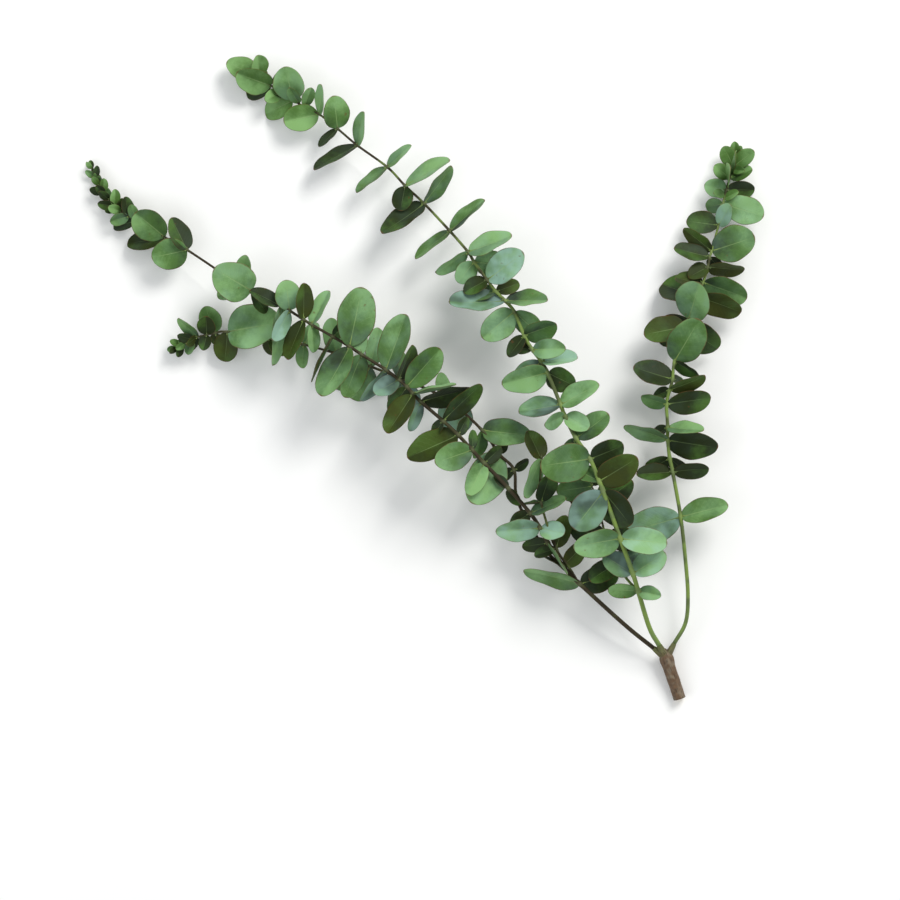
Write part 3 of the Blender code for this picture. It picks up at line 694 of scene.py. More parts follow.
@dataclass(frozen=True)
class BarkFinish:
    """Rough brown bark with long cracks and grey patches, greener towards the shoots."""

    brown: tuple = paint(104, 80, 56)
    crack: tuple = paint(44, 32, 23)
    grey: tuple = paint(136, 124, 104)
    green: tuple = paint(104, 116, 62)
    crack_scale: tuple = (90.0, 9.0, 1.0)
    clouds: tuple = (210.0, 0.42, 0.66)
    pore_scale: float = 1500.0
    relief: tuple = (0.9, 0.0007)

    def make(self, effects: SharedEffects) -> bpy.types.Material:
        """Wire the material.

        Args:
            effects: The shared groups.

        Returns:
            The bark's material.
        """
        made, wires, shader = new_material("bark")
        where = wires.where()
        stretch = wires.node("ShaderNodeMapping")
        wires.feed(stretch.inputs["Vector"], wires.blade())
        stretch.inputs["Scale"].default_value = self.crack_scale
        cracks = wires.step(wires.noise(stretch.outputs[0], 1.0, 4.0, 0.6), 0.46, 0.36)
        patch = effects.patches(wires, where, *self.clouds)
        skin = effects.grain(wires, where, self.pore_scale)
        colour = wires.blend(wires.times(patch, 0.7), self.brown, self.grey)
        colour = wires.blend(wires.times(wires.mark("young"), 0.75), colour, self.green)
        colour = wires.blend(wires.times(cracks, 0.85), colour, self.crack)
        colour = wires.blend(wires.times(skin.outputs["Speck"], 0.3), colour, self.crack)
        wires.feed(shader.inputs["Base Color"], colour)
        wires.feed(shader.inputs["Roughness"], wires.step(patch, 0.0, 1.0, 0.72, 0.9))
        height = wires.minus(wires.times(skin.outputs["Height"], 0.5), cracks)
        wires.relief(shader, height, *self.relief)
        return made


@dataclass(frozen=True)
class CutWoodFinish:
    """The pale cut end: thin rings round a darker pith."""

    wood: tuple = paint(214, 190, 142)
    ring: tuple = paint(170, 138, 92)
    pith: tuple = paint(122, 92, 60)
    wander: tuple = (500.0, 2.0)
    wander_reach: float = 0.12
    ring_count: float = 5.0
    pore_scale: float = 2600.0
    relief: tuple = (0.5, 0.0003)

    def make(self, effects: SharedEffects) -> bpy.types.Material:
        """Wire the material.

        Args:
            effects: The shared groups.

        Returns:
            The cut wood's material.
        """
        made, wires, shader = new_material("cut_wood")
        where = wires.where()
        wander = wires.times(wires.noise(where, *self.wander), self.wander_reach)
        run = wires.plus(wires.mark("depth"), wander)
        rings = wires.apart(wires.math("FRACT", wires.times(run, self.ring_count)), 0.5)
        colour = wires.blend(wires.step(rings, 0.30, 0.48), self.wood, self.ring)
        colour = wires.blend(wires.step(run, 0.22, 0.10), colour, self.pith)
        skin = effects.grain(wires, where, self.pore_scale)
        colour = wires.blend(wires.times(skin.outputs["Speck"], 0.2), colour, self.ring)
        wires.feed(shader.inputs["Base Color"], colour)
        wires.feed(shader.inputs["Roughness"], wires.step(rings, 0.0, 0.5, 0.62, 0.75))
        wires.relief(shader, wires.minus(skin.outputs["Height"], rings), *self.relief)
        return made


@dataclass(frozen=True)
class FloorFinish:
    """A plain pale matt floor."""

    pale: tuple = paint(250, 250, 249)
    tint: tuple = paint(246, 246, 244)
    clouds: tuple = (3.0, 0.3, 0.7)
    roughness: float = 0.9

    def make(self, effects: SharedEffects) -> bpy.types.Material:
        """Wire the material.

        Args:
            effects: The shared groups.

        Returns:
            The floor's material.
        """
        made, wires, shader = new_material("pale_floor")
        patch = effects.patches(wires, wires.where(), *self.clouds)
        wires.feed(shader.inputs["Base Color"], wires.blend(patch, self.pale, self.tint))
        shader.inputs["Roughness"].default_value = self.roughness
        return made


def finish_mesh(name: str, bm: bmesh.types.BMesh, materials: list[bpy.types.Material],
                levels: int = 0) -> bpy.types.Object:
    """Close a mesh, dress it and put it in the scene.

    Args:
        name: The piece's name.
        bm: Its mesh, which is freed.
        materials: Its finishes.
        levels: Levels of subdivision.

    Returns:
        The finished piece.
    """
    for face in bm.faces:
        face.smooth = True
    mesh = bpy.data.meshes.new(name)
    bm.to_mesh(mesh)
    bm.free()
    for material in materials:
        mesh.materials.append(material)
    piece = bpy.data.objects.new(name, mesh)
    bpy.context.scene.collection.objects.link(piece)
    if levels:
        smooth = piece.modifiers.new("smooth", "SUBSURF")
        smooth.levels = smooth.render_levels = levels
    return piece


def linked(verts: list, kind: str) -> list:
    """List what meets some points, by "link_faces" or "link_edges", each once and in order."""
    return list(dict.fromkeys(item for vert in verts for item in getattr(vert, kind)))


def add_underside(bm: bmesh.types.BMesh, faces: list) -> list[tuple]:
    """Double a sheet of faces, joined at the rim, so that it can be given a thickness.

    Args:
        bm: The mesh.
        faces: The sheet.

    Returns:
        Each new lower point with its twin above.
    """
    upper = {vert.co.to_tuple(7): vert for face in faces for vert in face.verts}
    made = bmesh.ops.extrude_face_region(bm, geom=faces)
    return [(vert, upper[vert.co.to_tuple(7)]) for vert in made["geom"]
            if isinstance(vert, bmesh.types.BMVert)]


@dataclass
class Blade:
    """One leaf: where it grows from, how it lies, and its own cup, curl and wave."""

    root: Vector
    stem_radius: float
    heading: float
    rise: float
    tilt: float
    length: float
    width: float
    # the tone's lightness is partly painted shade and light
    tone: LeafToneAndShade
    cup: float = 0.0
    curl: float = 0.0
    wave_turns: float = 1.5
    wave_start: float = 0.0
    solid_thickness: float = 0.0008
    thickness: float = 0.00055
    foot_half_width: float = 0.0007
    wave_depth: float = 0.026
    press_depth: float = 0.0036       # how far a blade's end may bend down on the floor
    bluntness: float = 0.44
    shares: tuple = (0.60, 0.92)      # least and most width over length
    least_tilt: float = 12.0
    solid_rows: tuple = ((0.031, 5), (0.016, 4), (0.0, 3))         # longer than, rows

    @classmethod
    def from_row(cls, root: Vector, stem_radius: float, row: tuple,
                 rng: random.Random) -> "Blade":
        """Read a leaf's row and draw its own small differences.

        Args:
            root: The point of the stem that it grows from.
            stem_radius: The stem's radius there.
            row: Heading, reach, rise, tilt, width over reach, and tone.
            rng: The seeded draw that the solid model uses too.

        Returns:
            The blade, lifted off the floor.
        """
        heading, reach, rise, tilt, share, tone = row
        rise_angle = math.radians(rise)
        length = reach * GRID / math.cos(rise_angle)
        true_share = share * math.cos(rise_angle) / math.cos(math.radians(tilt))
        true_share = min(max(true_share, cls.shares[0]), cls.shares[1])
        lean = min(1.0, share * math.cos(rise_angle) / true_share)
        least = math.radians(min(abs(tilt), cls.least_tilt))
        tilt_angle = math.copysign(max(math.acos(lean), least), tilt)
        made = cls(root, stem_radius, math.radians(heading), rise_angle, tilt_angle, length,
                   length * true_share, tone)
        made.cup = rng.uniform(0.10, 0.24)
        made.curl = rng.uniform(-0.05, 0.13)
        made.wave_turns = rng.uniform(1.2, 1.9)
        made.wave_start = rng.uniform(0.0, math.tau)
        made.settle()
        return made

    def axes(self) -> tuple[Vector, Vector, Vector]:
        """Work out the blade's directions.

        Returns:
            Unit vectors along it, to its left and out of its upper face.
        """
        along = Vector((math.cos(self.rise) * math.cos(self.heading),
                        math.cos(self.rise) * math.sin(self.heading),
                        math.sin(self.rise)))
        up = (Vector((0, 0, 1)) - along * along.z).normalized()
        left = up.cross(along)
        turn = Quaternion(along, -self.tilt)
        return along, turn @ left, turn @ up

    def half_width(self, u: float) -> float:
        """Work out half the blade's width.

        Args:
            u: Share of the length, from foot to tip.

        Returns:
            Half the width there: a blunt oval with a round foot.
        """
        belly = 0.93 + 0.13 * math.cos(self.wave_start)
        body = 0.5 * self.width * max(0.0, math.sin(math.pi * u ** belly)) ** self.bluntness
        return max(body, self.foot_half_width * (1.0 - u) if u < 0.5 else 0.0)

    def point(self, u: float, v: float) -> Vector:
        """Find a point of the upper face.

        Args:
            u: From foot, 0, to tip, 1.
            v: From edge, -1, to edge, 1.

        Returns:
            The point in the sprig's frame.
        """
        along, left, up = self.axes()
        half = self.half_width(u)
        wave = math.sin(math.tau * self.wave_turns * u + self.wave_start + 1.1 * v)
        lift = self.cup * half * abs(v) ** 1.5 - self.curl * self.length * u * u
        lift += self.wave_depth * self.length * wave * v * v * math.sin(math.pi * u)
        foot = self.root + along * (0.25 * self.stem_radius)
        return foot + along * (self.length * u) + left * (half * v) + up * lift

    def lowest(self) -> float:
        """Height of the blade's lowest point, as the solid model measures it."""
        heights = (self.point(i / 8, v).z for i in range(1, 9) for v in (-1, 0, 1))
        return min(heights) - self.solid_thickness

    def settle(self) -> None:
        """Lift a blade that would reach under the floor until only its end bends there."""
        for _ in range(90):
            if self.lowest() > -self.press_depth:
                return
            self.rise += math.radians(1.0)
            self.tilt *= 0.98

    def turned(self, turn: tuple, times: int) -> "Blade":
        """Turn the blade to clear a neighbour.

        Args:
            turn: Degrees of rise, heading and tilt.
            times: How often that turn is made.

        Returns:
            A turned copy.
        """
        other = copy.copy(self)
        other.rise += math.radians(turn[0] * times)
        other.heading += math.radians(turn[1] * times)
        other.tilt += math.radians(turn[2] * times)
        other.settle()
        return other

    def test_tree(self) -> BVHTree:
        """Make a search tree of the plain solid blade, to find what crosses it.

        Returns:
            The tree of its thin closed body.
        """
        count = next(rows for reach, rows in self.solid_rows if self.length > reach)
        bm = bmesh.new()
        bmesh.ops.create_grid(bm, x_segments=count, y_segments=2, size=1.0)
        tip = []
        for vert in bm.verts:
            share, across = (vert.co.x + 1.0) / 2.0, vert.co.y
            if share > 0.999:
                tip.append(vert)
            vert.co = self.point((1.0 - math.cos(math.pi * share)) / 2.0, across)
        bmesh.ops.pointmerge(bm, verts=tip, merge_co=self.point(1.0, 0.0))
        bmesh.ops.triangulate(bm, faces=bm.faces[:], quad_method="FIXED")
        under = -self.axes()[2] * self.solid_thickness
        for vert, twin in add_underside(bm, bm.faces[:]):
            vert.co += under
            if vert.co.z < 0.0:
                twin.co.z = max(twin.co.z - vert.co.z, self.solid_thickness)
                vert.co.z = 0.0
        bmesh.ops.triangulate(bm, faces=[face for face in bm.faces if len(face.verts) > 3])
        tree = BVHTree.FromBMesh(bm)
        bm.free()
        return tree


@dataclass
class LeafMaker:
    """Builds the fine leaves of one piece in one mesh."""

    name: str
    meshes: tuple = ((0.026, 10, 8), (0.014, 8, 6), (0.0, 6, 4))   # longer than, rows, columns
    rib_sink: float = 0.00022
    rib_spread: float = 0.16
    fold_sink: float = 0.00055
    fold_spread: float = 0.45
    ripple: float = 0.00045
    edge_wobble: float = 0.018
    tip_half_width: float = 0.17
    floor_gap: float = 0.00002
    marks: tuple = ("light", "bloom", "warm", "side", "start", "along", "across")
    draw: random.Random = field(default_factory=lambda: random.Random(7))

    def __post_init__(self) -> None:
        """Open the mesh and its point values."""
        self.bm = bmesh.new()
        self.layer = {name: self.bm.verts.layers.float.new(name) for name in self.marks}

    def fine_point(self, leaf: Blade, u: float, v: float, wobble: tuple) -> Vector:
        """Find a point of the finer upper face.

        Args:
            leaf: The blade.
            u: From foot to tip.
            v: From edge to edge.
            wobble: The start and count of the small waves of its outline.

        Returns:
            The point in the sprig's frame.
        """
        along, left, up = leaf.axes()
        spot = leaf.point(u, v)
        if u > 0.999:
            half = leaf.width * 0.5 * self.tip_half_width
            spot = spot + left * (half * v) - along * (leaf.length * 0.014 * v * v)
        start, count = wobble
        belly = math.sin(math.pi * u)
        outward = self.edge_wobble * leaf.width * math.sin(start + count * u + 2.0 * v) * v * abs(v)
        spot += left * (outward * math.sin(math.pi * min(1.0, u * 1.02)))
        rib = math.exp(-(v / self.rib_spread) ** 2) * (1.0 - 0.7 * u) * min(1.0, u / 0.05)
        fold = math.exp(-(v / self.fold_spread) ** 2) * belly * min(1.0, leaf.length / 0.03)
        side = 1.3 if v > 0.0 else 0.0
        wave = math.sin(start * 2.0 + count * 1.4 * u + side) * v ** 4 * belly
        return spot - up * (self.rib_sink * rib + self.fold_sink * fold - self.ripple * wave)

    def add(self, leaf: Blade) -> None:
        """Build one leaf.

        Args:
            leaf: The blade to build.
        """
        rows, columns = next(mesh[1:] for mesh in self.meshes if leaf.length > mesh[0])
        wobble = (self.draw.uniform(0, math.tau), self.draw.uniform(7.0, 13.0))
        # the lightness is partly the leaf's own tone and partly painted shade and light
        light, bloom, warm = leaf.tone.value
        light += self.draw.uniform(-0.07, 0.07)
        bloom *= self.draw.uniform(0.7, 1.15)
        warm *= self.draw.uniform(0.6, 1.1)
        own = {"light": light, "bloom": bloom, "warm": warm, "side": 0.0,
               "start": self.draw.random()}
        made = bmesh.ops.create_grid(self.bm, x_segments=rows, y_segments=columns, size=1.0)
        verts = made["verts"]
        for vert in verts:
            share, side = (vert.co.x + 1.0) / 2.0, vert.co.y
            u = (1.0 - math.cos(math.pi * share)) / 2.0
            v = math.copysign(abs(side) ** 1.25, side)
            for name, value in (*own.items(), ("along", u), ("across", 0.5 + 0.5 * v)):
                vert[self.layer[name]] = value
            vert.co = self.fine_point(leaf, u, v, wobble)
        self.thicken(leaf, linked(verts, "link_faces"))

    def thicken(self, leaf: Blade, faces: list) -> None:
        """Give a blade its underside and rim, and rest it on the floor.

        Args:
            leaf: The blade.
            faces: Its upper faces.
        """
        up = leaf.axes()[2]
        pairs = add_underside(self.bm, faces)
        for vert, twin in pairs:
            edge = abs(vert[self.layer["across"]] - 0.5) * 2.0
            rib = math.exp(-(edge / self.rib_spread) ** 2) * (1.0 - vert[self.layer["along"]])
            blade = leaf.thickness * (1.0 - 0.45 * edge ** 4)
            vert.co -= up * (blade + self.rib_sink * 2.6 * rib)
            vert[self.layer["side"]] = 1.0
            if vert.co.z < self.floor_gap:
                twin.co.z = max(twin.co.z - vert.co.z, leaf.thickness)
                vert.co.z = self.floor_gap
        whole = dict.fromkeys(linked([vert for vert, _ in pairs], "link_faces") + faces)
        bmesh.ops.recalc_face_normals(self.bm, faces=[face for face in whole if face.is_valid])

    def finish(self, material: bpy.types.Material) -> bpy.types.Object:
        """Lay the leaves out flat and close the mesh.

        Args:
            material: The leaf's finish.

        Returns:
            The finished piece.
        """
        layer = self.bm.loops.layers.uv.new("blade")
        for face in self.bm.faces:
            for loop in face.loops:
                vert = loop.vert
                loop[layer].uv = (vert[self.layer["along"]], vert[self.layer["across"]])
        return finish_mesh(self.name, self.bm, [material], levels=1)


def curve_through(stations: list[Vector], spacing: float) -> list[tuple[Vector, float]]:
    """Run a smooth curve through stations.

    Args:
        stations: Points to pass through.
        spacing: About how far apart the curve's points are.

    Returns:
        Points with their share between stations.
    """
    points = []
    ends = [2 * stations[0] - stations[1], *stations, 2 * stations[-1] - stations[-2]]
    for k in range(len(stations) - 1):
        a, b, c, d = ends[k:k + 4]
        steps = max(1, round((c - b).length / spacing))
        for i in range(steps):
            t = i / steps
            points.append((0.5 * ((2 * b) + (c - a) * t + (2 * a - 5 * b + 4 * c - d) * t * t
                                  + (3 * b - a - 3 * c + d) * t ** 3), k + t))
    points.append((stations[-1].copy(), len(stations) - 1.0))
    return points


def carry_frames(points: list[Vector]) -> list[Matrix]:
    """Carry a frame along a path without twist.

    Args:
        points: The path.

    Returns:
        One unit frame for each point, its Z along the path.
    """
    made = []
    side = Vector((0, 0, 1))
    for k, point in enumerate(points):
        ahead = (points[min(k + 1, len(points) - 1)] - points[max(k - 1, 0)]).normalized()
        if abs(side.dot(ahead)) > 0.98:
            side = Vector((1, 0, 0))
        side = (side - ahead * side.dot(ahead)).normalized()
        frame = Matrix((side, ahead.cross(side), ahead)).transposed().to_4x4()
        made.append(Matrix.Translation(point) @ frame)
    return made


class TubeMaker:
    """Draws tubes in one mesh: a ring is pulled along a path and turned with it."""

    def __init__(self, name: str, marks: tuple) -> None:
        """Open the mesh.

        Args:
            name: The piece's name.
            marks: Names of its point values.
        """
        self.name = name
        self.bm = bmesh.new()
        layers = self.bm.verts.layers.float
        self.layer = {mark: layers.new(mark) for mark in marks + ("round", "run")}
        self.uv = self.bm.loops.layers.uv.new("blade")

    def add(self, points: list[Vector], radii: list[float], sides: int, marks: list[dict],
            cap: int = 0) -> list:
        """Draw one tube with closed ends.

        Args:
            points: Its path.
            radii: Its radius at each point.
            sides: Faces round it.
            marks: Point values at each point.
            cap: Material of its far end.

        Returns:
            Its rings of points, from first to last.
        """
        frames = carry_frames(points)
        start = frames[0] @ Matrix.Scale(radii[0], 4)
        made = bmesh.ops.create_circle(self.bm, cap_ends=False, radius=1.0, segments=sides,
                                       matrix=start)
        ring = made["verts"]
        for k, vert in enumerate(ring):
            vert[self.layer["round"]] = k / sides
        edges = linked(ring, "link_edges")
        first_edges = edges
        rings = [ring]
        self.note(ring, marks[0], 0.0)
        run = 0.0
        for k in range(1, len(points)):
            pulled = bmesh.ops.extrude_edge_only(self.bm, edges=edges)["geom"]
            fresh = [item for item in pulled if isinstance(item, bmesh.types.BMVert)]
            edges = [item for item in pulled if isinstance(item, bmesh.types.BMEdge)
                     and item.verts[0] in fresh and item.verts[1] in fresh]
            grow = Matrix.Scale(radii[k] / radii[k - 1], 4)
            bmesh.ops.transform(self.bm, matrix=frames[k] @ grow @ frames[k - 1].inverted(),
                                verts=fresh)
            run += (points[k] - points[k - 1]).length
            self.note(fresh, marks[k], run)
            rings.append(fresh)
        first_cap = bmesh.ops.contextual_create(self.bm, geom=first_edges)
        last_cap = bmesh.ops.contextual_create(self.bm, geom=edges)
        for face in last_cap["faces"]:
            face.material_index = cap
        tube = linked([vert for ring in rings for vert in ring], "link_faces")
        bmesh.ops.recalc_face_normals(self.bm, faces=tube)
        caps = first_cap["faces"] + last_cap["faces"]
        self.unwrap([face for face in tube if face not in caps])
        return rings

    def note(self, verts: list, marks: dict, run: float) -> None:
        """Write point values on a ring.

        Args:
            verts: The ring.
            marks: Values by name.
            run: Distance from the tube's start.
        """
        for vert in verts:
            vert[self.layer["run"]] = run
            for name, value in marks.items():
                vert[self.layer[name]] = value

    def unwrap(self, faces: list) -> None:
        """Lay the tube's wall out flat: its turn across, its run up.

        Args:
            faces: The wall's faces.
        """
        for face in faces:
            turns = [loop.vert[self.layer["round"]] for loop in face.loops]
            wraps = max(turns) - min(turns) > 0.5
            for loop, turn in zip(face.loops, turns):
                if wraps and turn < 0.5:
                    turn += 1.0
                loop[self.uv].uv = (turn, loop.vert[self.layer["run"]] * RUN_SCALE)

    def add_bud(self, where: Vector, ahead: Vector, size: float, marks: dict) -> None:
        """Add a small pointed bud.

        Args:
            where: Its middle.
            ahead: Where it points.
            size: Half its width.
            marks: Its point values.
        """
        turn = ahead.to_track_quat("Z", "Y").to_matrix().to_4x4()
        long = Matrix.Diagonal((size, size * 0.8, size * 1.9, 1.0))
        made = bmesh.ops.create_icosphere(self.bm, subdivisions=1, radius=1.0,
                                          matrix=Matrix.Translation(where) @ turn @ long)
        self.note(made["verts"], marks, 0.0)

    def finish(self, materials: list[bpy.types.Material]) -> bpy.types.Object:
        """Close the mesh and dress it."""
        return finish_mesh(self.name, self.bm, materials)


def tip_rows(last: tuple, way: tuple, count: int, first_blade: float, last_blade: float,
             spread: float) -> tuple:
    """Lay out crowded young pairs from the last station along the way to a shoot's tip.

    Args:
        last: The last row before the tip.
        way: Grid places to the tip.
        count: How many pairs.
        first_blade: Reach of the first leaves.
        last_blade: Reach of the last ones.
        spread: Degrees between the leaves and the stem.

    Returns:
        Rows like those of the tables.
    """
    stops = [Vector(last[:3])] + [Vector(stop) for stop in way]
    runs = [(two - one).length for one, two in zip(stops, stops[1:])]
    rows = []
    for k in range(count):
        t = (k + 1) / count
        left = t * sum(runs)
        leg = 0
        while leg < len(runs) - 1 and left > runs[leg]:
            left -= runs[leg]
            leg += 1
        run = stops[leg + 1] - stops[leg]
        spot = stops[leg] + run * (left / runs[leg])
        heading = math.degrees(math.atan2(-run.y, run.x))
        blade = first_blade + (last_blade - first_blade) * t
        turn = spread * (1.0 - 0.35 * t)
        one, two = (DARK, FRESH) if k % 3 else (GREEN, DARK)
        if k % 2 == 0:
            pair = ((heading + turn, blade, 12, 25, .66, one),
                    (heading - turn, blade, 12, -25, .66, two))
        else:
            pair = ((heading + 14, 0.7 * blade, 44, 8, .85, two),
                    (heading - 14, 0.9 * blade, -8, 8, .75, one))
        rows.append((spot.x, spot.y, spot.z) + pair)
    return tuple(rows)


@dataclass
class Shoot:
    """A stem with its leaves: where it runs, how thick it is and what grows from it."""

    name: str
    start: Vector
    foot: tuple
    rows: tuple
    radii: tuple
    hardness: tuple
    rng: random.Random
    crowded: int = 0               # how many of the last pairs have small leaves between them
    crowd_tones: tuple = (DARK, GREEN, OLIVE)
    crowd_turns: tuple = ((62, 28), (-58, 34), (12, 58), (-20, 46),
                          (100, 40), (-96, 36), (40, 66), (-44, 62))   # heading, rise
    crowd_seed: int = 23
    solid_spacing: float = 0.015
    solid_sides: int = 5
    spacing: float = 0.0026
    sides: int = 10
    roundness: float = 0.91        # a round stem's radius over that of its five-sided solid
    swelling: float = 0.28
    swelling_reach: float = 0.0016
    bud_gap: float = 0.0012
    bud_size: float = 0.00055
    stalk_sides: int = 6
    stalk_radius: float = 0.0009
    stalk_shares: tuple = (0.95, 0.85, 0.60, 0.22)
    stalk_path: tuple = ((0.02, 0.0004), (0.09, 0.00052), (0.20, 0.00058))   # share, depth

    def __post_init__(self) -> None:
        """Set the stations along the stem and draw the leaves from the shared seed."""
        self.stations = [self.start] + [place(*row[:3]) for row in self.foot + self.rows]
        self.first = len(self.stations) - len(self.rows)
        self.last = len(self.stations) - 1
        self.leaves = []
        for k, row in enumerate(self.rows):
            radius = self.radius_at(self.first + k)
            for leaf_row in row[3:]:
                blade = Blade.from_row(self.stations[self.first + k], radius, leaf_row, self.rng)
                self.leaves.append((k, blade))

    def radius_at(self, share: float) -> float:
        """Radius of the bare stem at a share of its stations."""
        return self.radii[0] + (self.radii[1] - self.radii[0]) * share / self.last

    def test_tree(self) -> BVHTree:
        """Make a search tree of the plain solid stem.

        Returns:
            The tree of its tube.
        """
        path = curve_through(self.stations, self.solid_spacing)
        frames = carry_frames([point for point, _ in path])
        half_side = Matrix.Rotation(math.pi / self.solid_sides, 4, "Z")
        bm = bmesh.new()
        ring_before = None
        for k, (frame, (_, share)) in enumerate(zip(frames, path)):
            at_pair = share >= self.first and abs(share - round(share)) < 1e-6
            radius = self.radius_at(share) * (1.16 if at_pair else 1.0)
            made = bmesh.ops.create_circle(bm, cap_ends=k in (0, len(path) - 1), radius=radius,
                                           segments=self.solid_sides, matrix=frame @ half_side)
            ring = linked(made["verts"], "link_edges")
            if ring_before:
                bmesh.ops.bridge_loops(bm, edges=ring_before + ring)
            ring_before = ring
        bmesh.ops.triangulate(bm, faces=bm.faces[:])
        tree = BVHTree.FromBMesh(bm)
        bm.free()
        return tree

    def young_leaves(self) -> list[Blade]:
        """Lay out the small crowded leaves between the last pairs.

        Returns:
            Their blades.
        """
        draw = random.Random(self.crowd_seed)
        made = []
        for k in range(len(self.rows) - self.crowded, len(self.rows)):
            before, after = self.stations[self.first + k - 1:self.first + k + 1]
            way = after - before
            ahead = math.degrees(math.atan2(way.y, way.x))
            reach = self.rows[k][3][1]
            for turn, rise in self.crowd_turns:
                root = before.lerp(after, draw.uniform(0.35, 1.0))
                row = (ahead + turn + draw.uniform(-18, 18), reach * draw.uniform(0.45, 0.72),
                       rise + draw.uniform(-10, 10), draw.uniform(-30, 30), 0.75,
                       draw.choice(self.crowd_tones))
                made.append(Blade.from_row(root, self.radii[1], row, draw))
        return made

    def draw_stem(self, tubes: TubeMaker) -> None:
        """Draw the fine stem, its joints, leaf stalks and buds.

        Args:
            tubes: The piece that takes them.
        """
        path = curve_through(self.stations, self.spacing)
        pairs = self.stations[self.first:]
        points, radii, marks = [], [], []
        for point, share in path:
            near = min((point - pair).length for pair in pairs)
            joint = math.exp(-(near / self.swelling_reach) ** 2)
            points.append(point)
            radii.append(self.radius_at(share) * self.roundness * (1.0 + self.swelling * joint))
            hard = self.hardness[0] + (self.hardness[1] - self.hardness[0]) * share / self.last
            marks.append({"hard": hard, "joint": joint})
        radii[-1] *= 0.5
        tubes.add(points, radii, self.sides, marks)
        for _, leaf in self.leaves:
            self.draw_stalk(tubes, leaf)
        ahead = (self.stations[-1] - self.stations[-2]).normalized()
        tubes.add_bud(self.stations[-1] + ahead * self.bud_gap, ahead, self.radii[1] * 1.5,
                      {"hard": 0.5, "joint": 0.4})

    def draw_stalk(self, tubes: TubeMaker, leaf: Blade) -> None:
        """Draw a leaf's short stalk into its midrib, and the bud beside it.

        Args:
            tubes: The piece that takes them.
            leaf: The leaf.
        """
        along, _, up = leaf.axes()
        ends = [leaf.root] + [leaf.point(u, 0.0) - up * depth for u, depth in self.stalk_path]
        ends = [Vector((end.x, end.y, max(end.z, self.stalk_radius))) for end in ends]
        thick = min(leaf.stem_radius, self.stalk_radius)
        radii = [thick * share for share in self.stalk_shares]
        tubes.add(ends, radii, self.stalk_sides, [{"hard": 0.22, "joint": 0.6}] * len(ends))
        bud = leaf.root + along * (leaf.stem_radius + 0.0005) + up * 0.0006
        tubes.add_bud(bud, (along + up * 1.2).normalized(), self.bud_size,
                      {"hard": 0.3, "joint": 0.9})


@dataclass
class Foliage:
    """All the leafy shoots, and the rule by which crossing leaves give way."""

    shoots: list[Shoot]
    steps: int = 4
    turn_cost: float = 2.0
    fork_room: float = 0.012
    turns: tuple = ((6, 2, 0), (-6, -2, 0), (4, -4, 9), (-4, 4, -9), (1, 4, 12), (-1, -4, -12))

    def find_room(self, leaf: Blade, near: list[BVHTree],
                  turn_cost: float) -> tuple[int, Blade, BVHTree]:
        """Turn a leaf step by step until it crosses nothing.

        Args:
            leaf: The leaf.
            near: What stands round it.
            turn_cost: How many crossings each step of a turn counts for.

        Returns:
            How often the best turned leaf still crosses, that leaf, and its tree.
        """
        more = [(turn, times + 1) for times in range(self.steps) for turn in self.turns]
        best = None
        for turn, times in [(self.turns[0], 0)] + more:
            trial = leaf.turned(turn, times)
            tree = trial.test_tree()
            hits = sum(len(tree.overlap(other)) for other in near)
            cost = hits + turn_cost * times
            if best is None or cost < best[0]:
                best = (cost, hits, trial, tree)
            if hits == 0:
                break
        return best[1:]

    def clear(self) -> None:
        """Turn each leaf a little where it would cut through a longer one or another stem."""
        stems = [(shoot, shoot.test_tree()) for shoot in self.shoots]
        order = [(shoot, n, k, leaf) for shoot in self.shoots
                 for n, (k, leaf) in enumerate(shoot.leaves)]
        order.sort(key=lambda entry: -round(entry[3].length, 5))
        placed = []
        for shoot, n, k, leaf in order:
            near = [tree for owner, row, root, reach, tree in placed
                    if (owner is not shoot or row != k)
                    and (root - leaf.root).length < reach + leaf.length]
            near += [tree for owner, tree in stems
                     if owner is not shoot and (owner.start - leaf.root).length > self.fork_room]
            _, blade, tree = self.find_room(leaf, near, self.turn_cost)
            shoot.leaves[n] = (k, blade)
            placed.append((shoot, k, leaf.root, leaf.length, tree))

    def fit_young(self, shoot: Shoot) -> list[Blade]:
        """Fit a shoot's small crowded leaves between its pairs.

        Args:
            shoot: The shoot.

        Returns:
            Those that find a place where they cut through no other leaf.
        """
        placed = [(leaf.root, leaf.length, leaf.test_tree()) for _, leaf in shoot.leaves]
        kept = []
        for leaf in shoot.young_leaves():
            near = [tree for root, reach, tree in placed
                    if (root - leaf.root).length < reach + leaf.length]
            crossings, blade, tree = self.find_room(leaf, near, 0.0)
            if not crossings:
                kept.append(blade)
                placed.append((blade.root, blade.length, tree))
        LOG.info("%s: %d small leaves at the tip", shoot.name, len(kept))
        return kept

    def dress(self, node: str, names: tuple, leaf_skin: bpy.types.Material,
              stem_skin: bpy.types.Material) -> None:
        """Build the leaves and stems that stand for one node of the frame.

        Args:
            node: The node's name.
            names: Names of the shoots in it.
            leaf_skin: The leaf's finish.
            stem_skin: The stem's finish.
        """
        title = node.replace("_stem", "").replace("_spray", "")
        maker = LeafMaker(title + "_leaves")
        tubes = TubeMaker(title + "_stalks", ("hard", "joint"))
        for shoot in self.shoots:
            if shoot.name in names:
                for leaf in [leaf for _, leaf in shoot.leaves] + self.fit_young(shoot):
                    maker.add(leaf)
                shoot.draw_stem(tubes)
        for piece in (maker.finish(leaf_skin), tubes.finish([stem_skin])):
            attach(piece, "root")
            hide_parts(node)
            LOG.info("%s: %d faces", piece.name, len(piece.data.polygons))


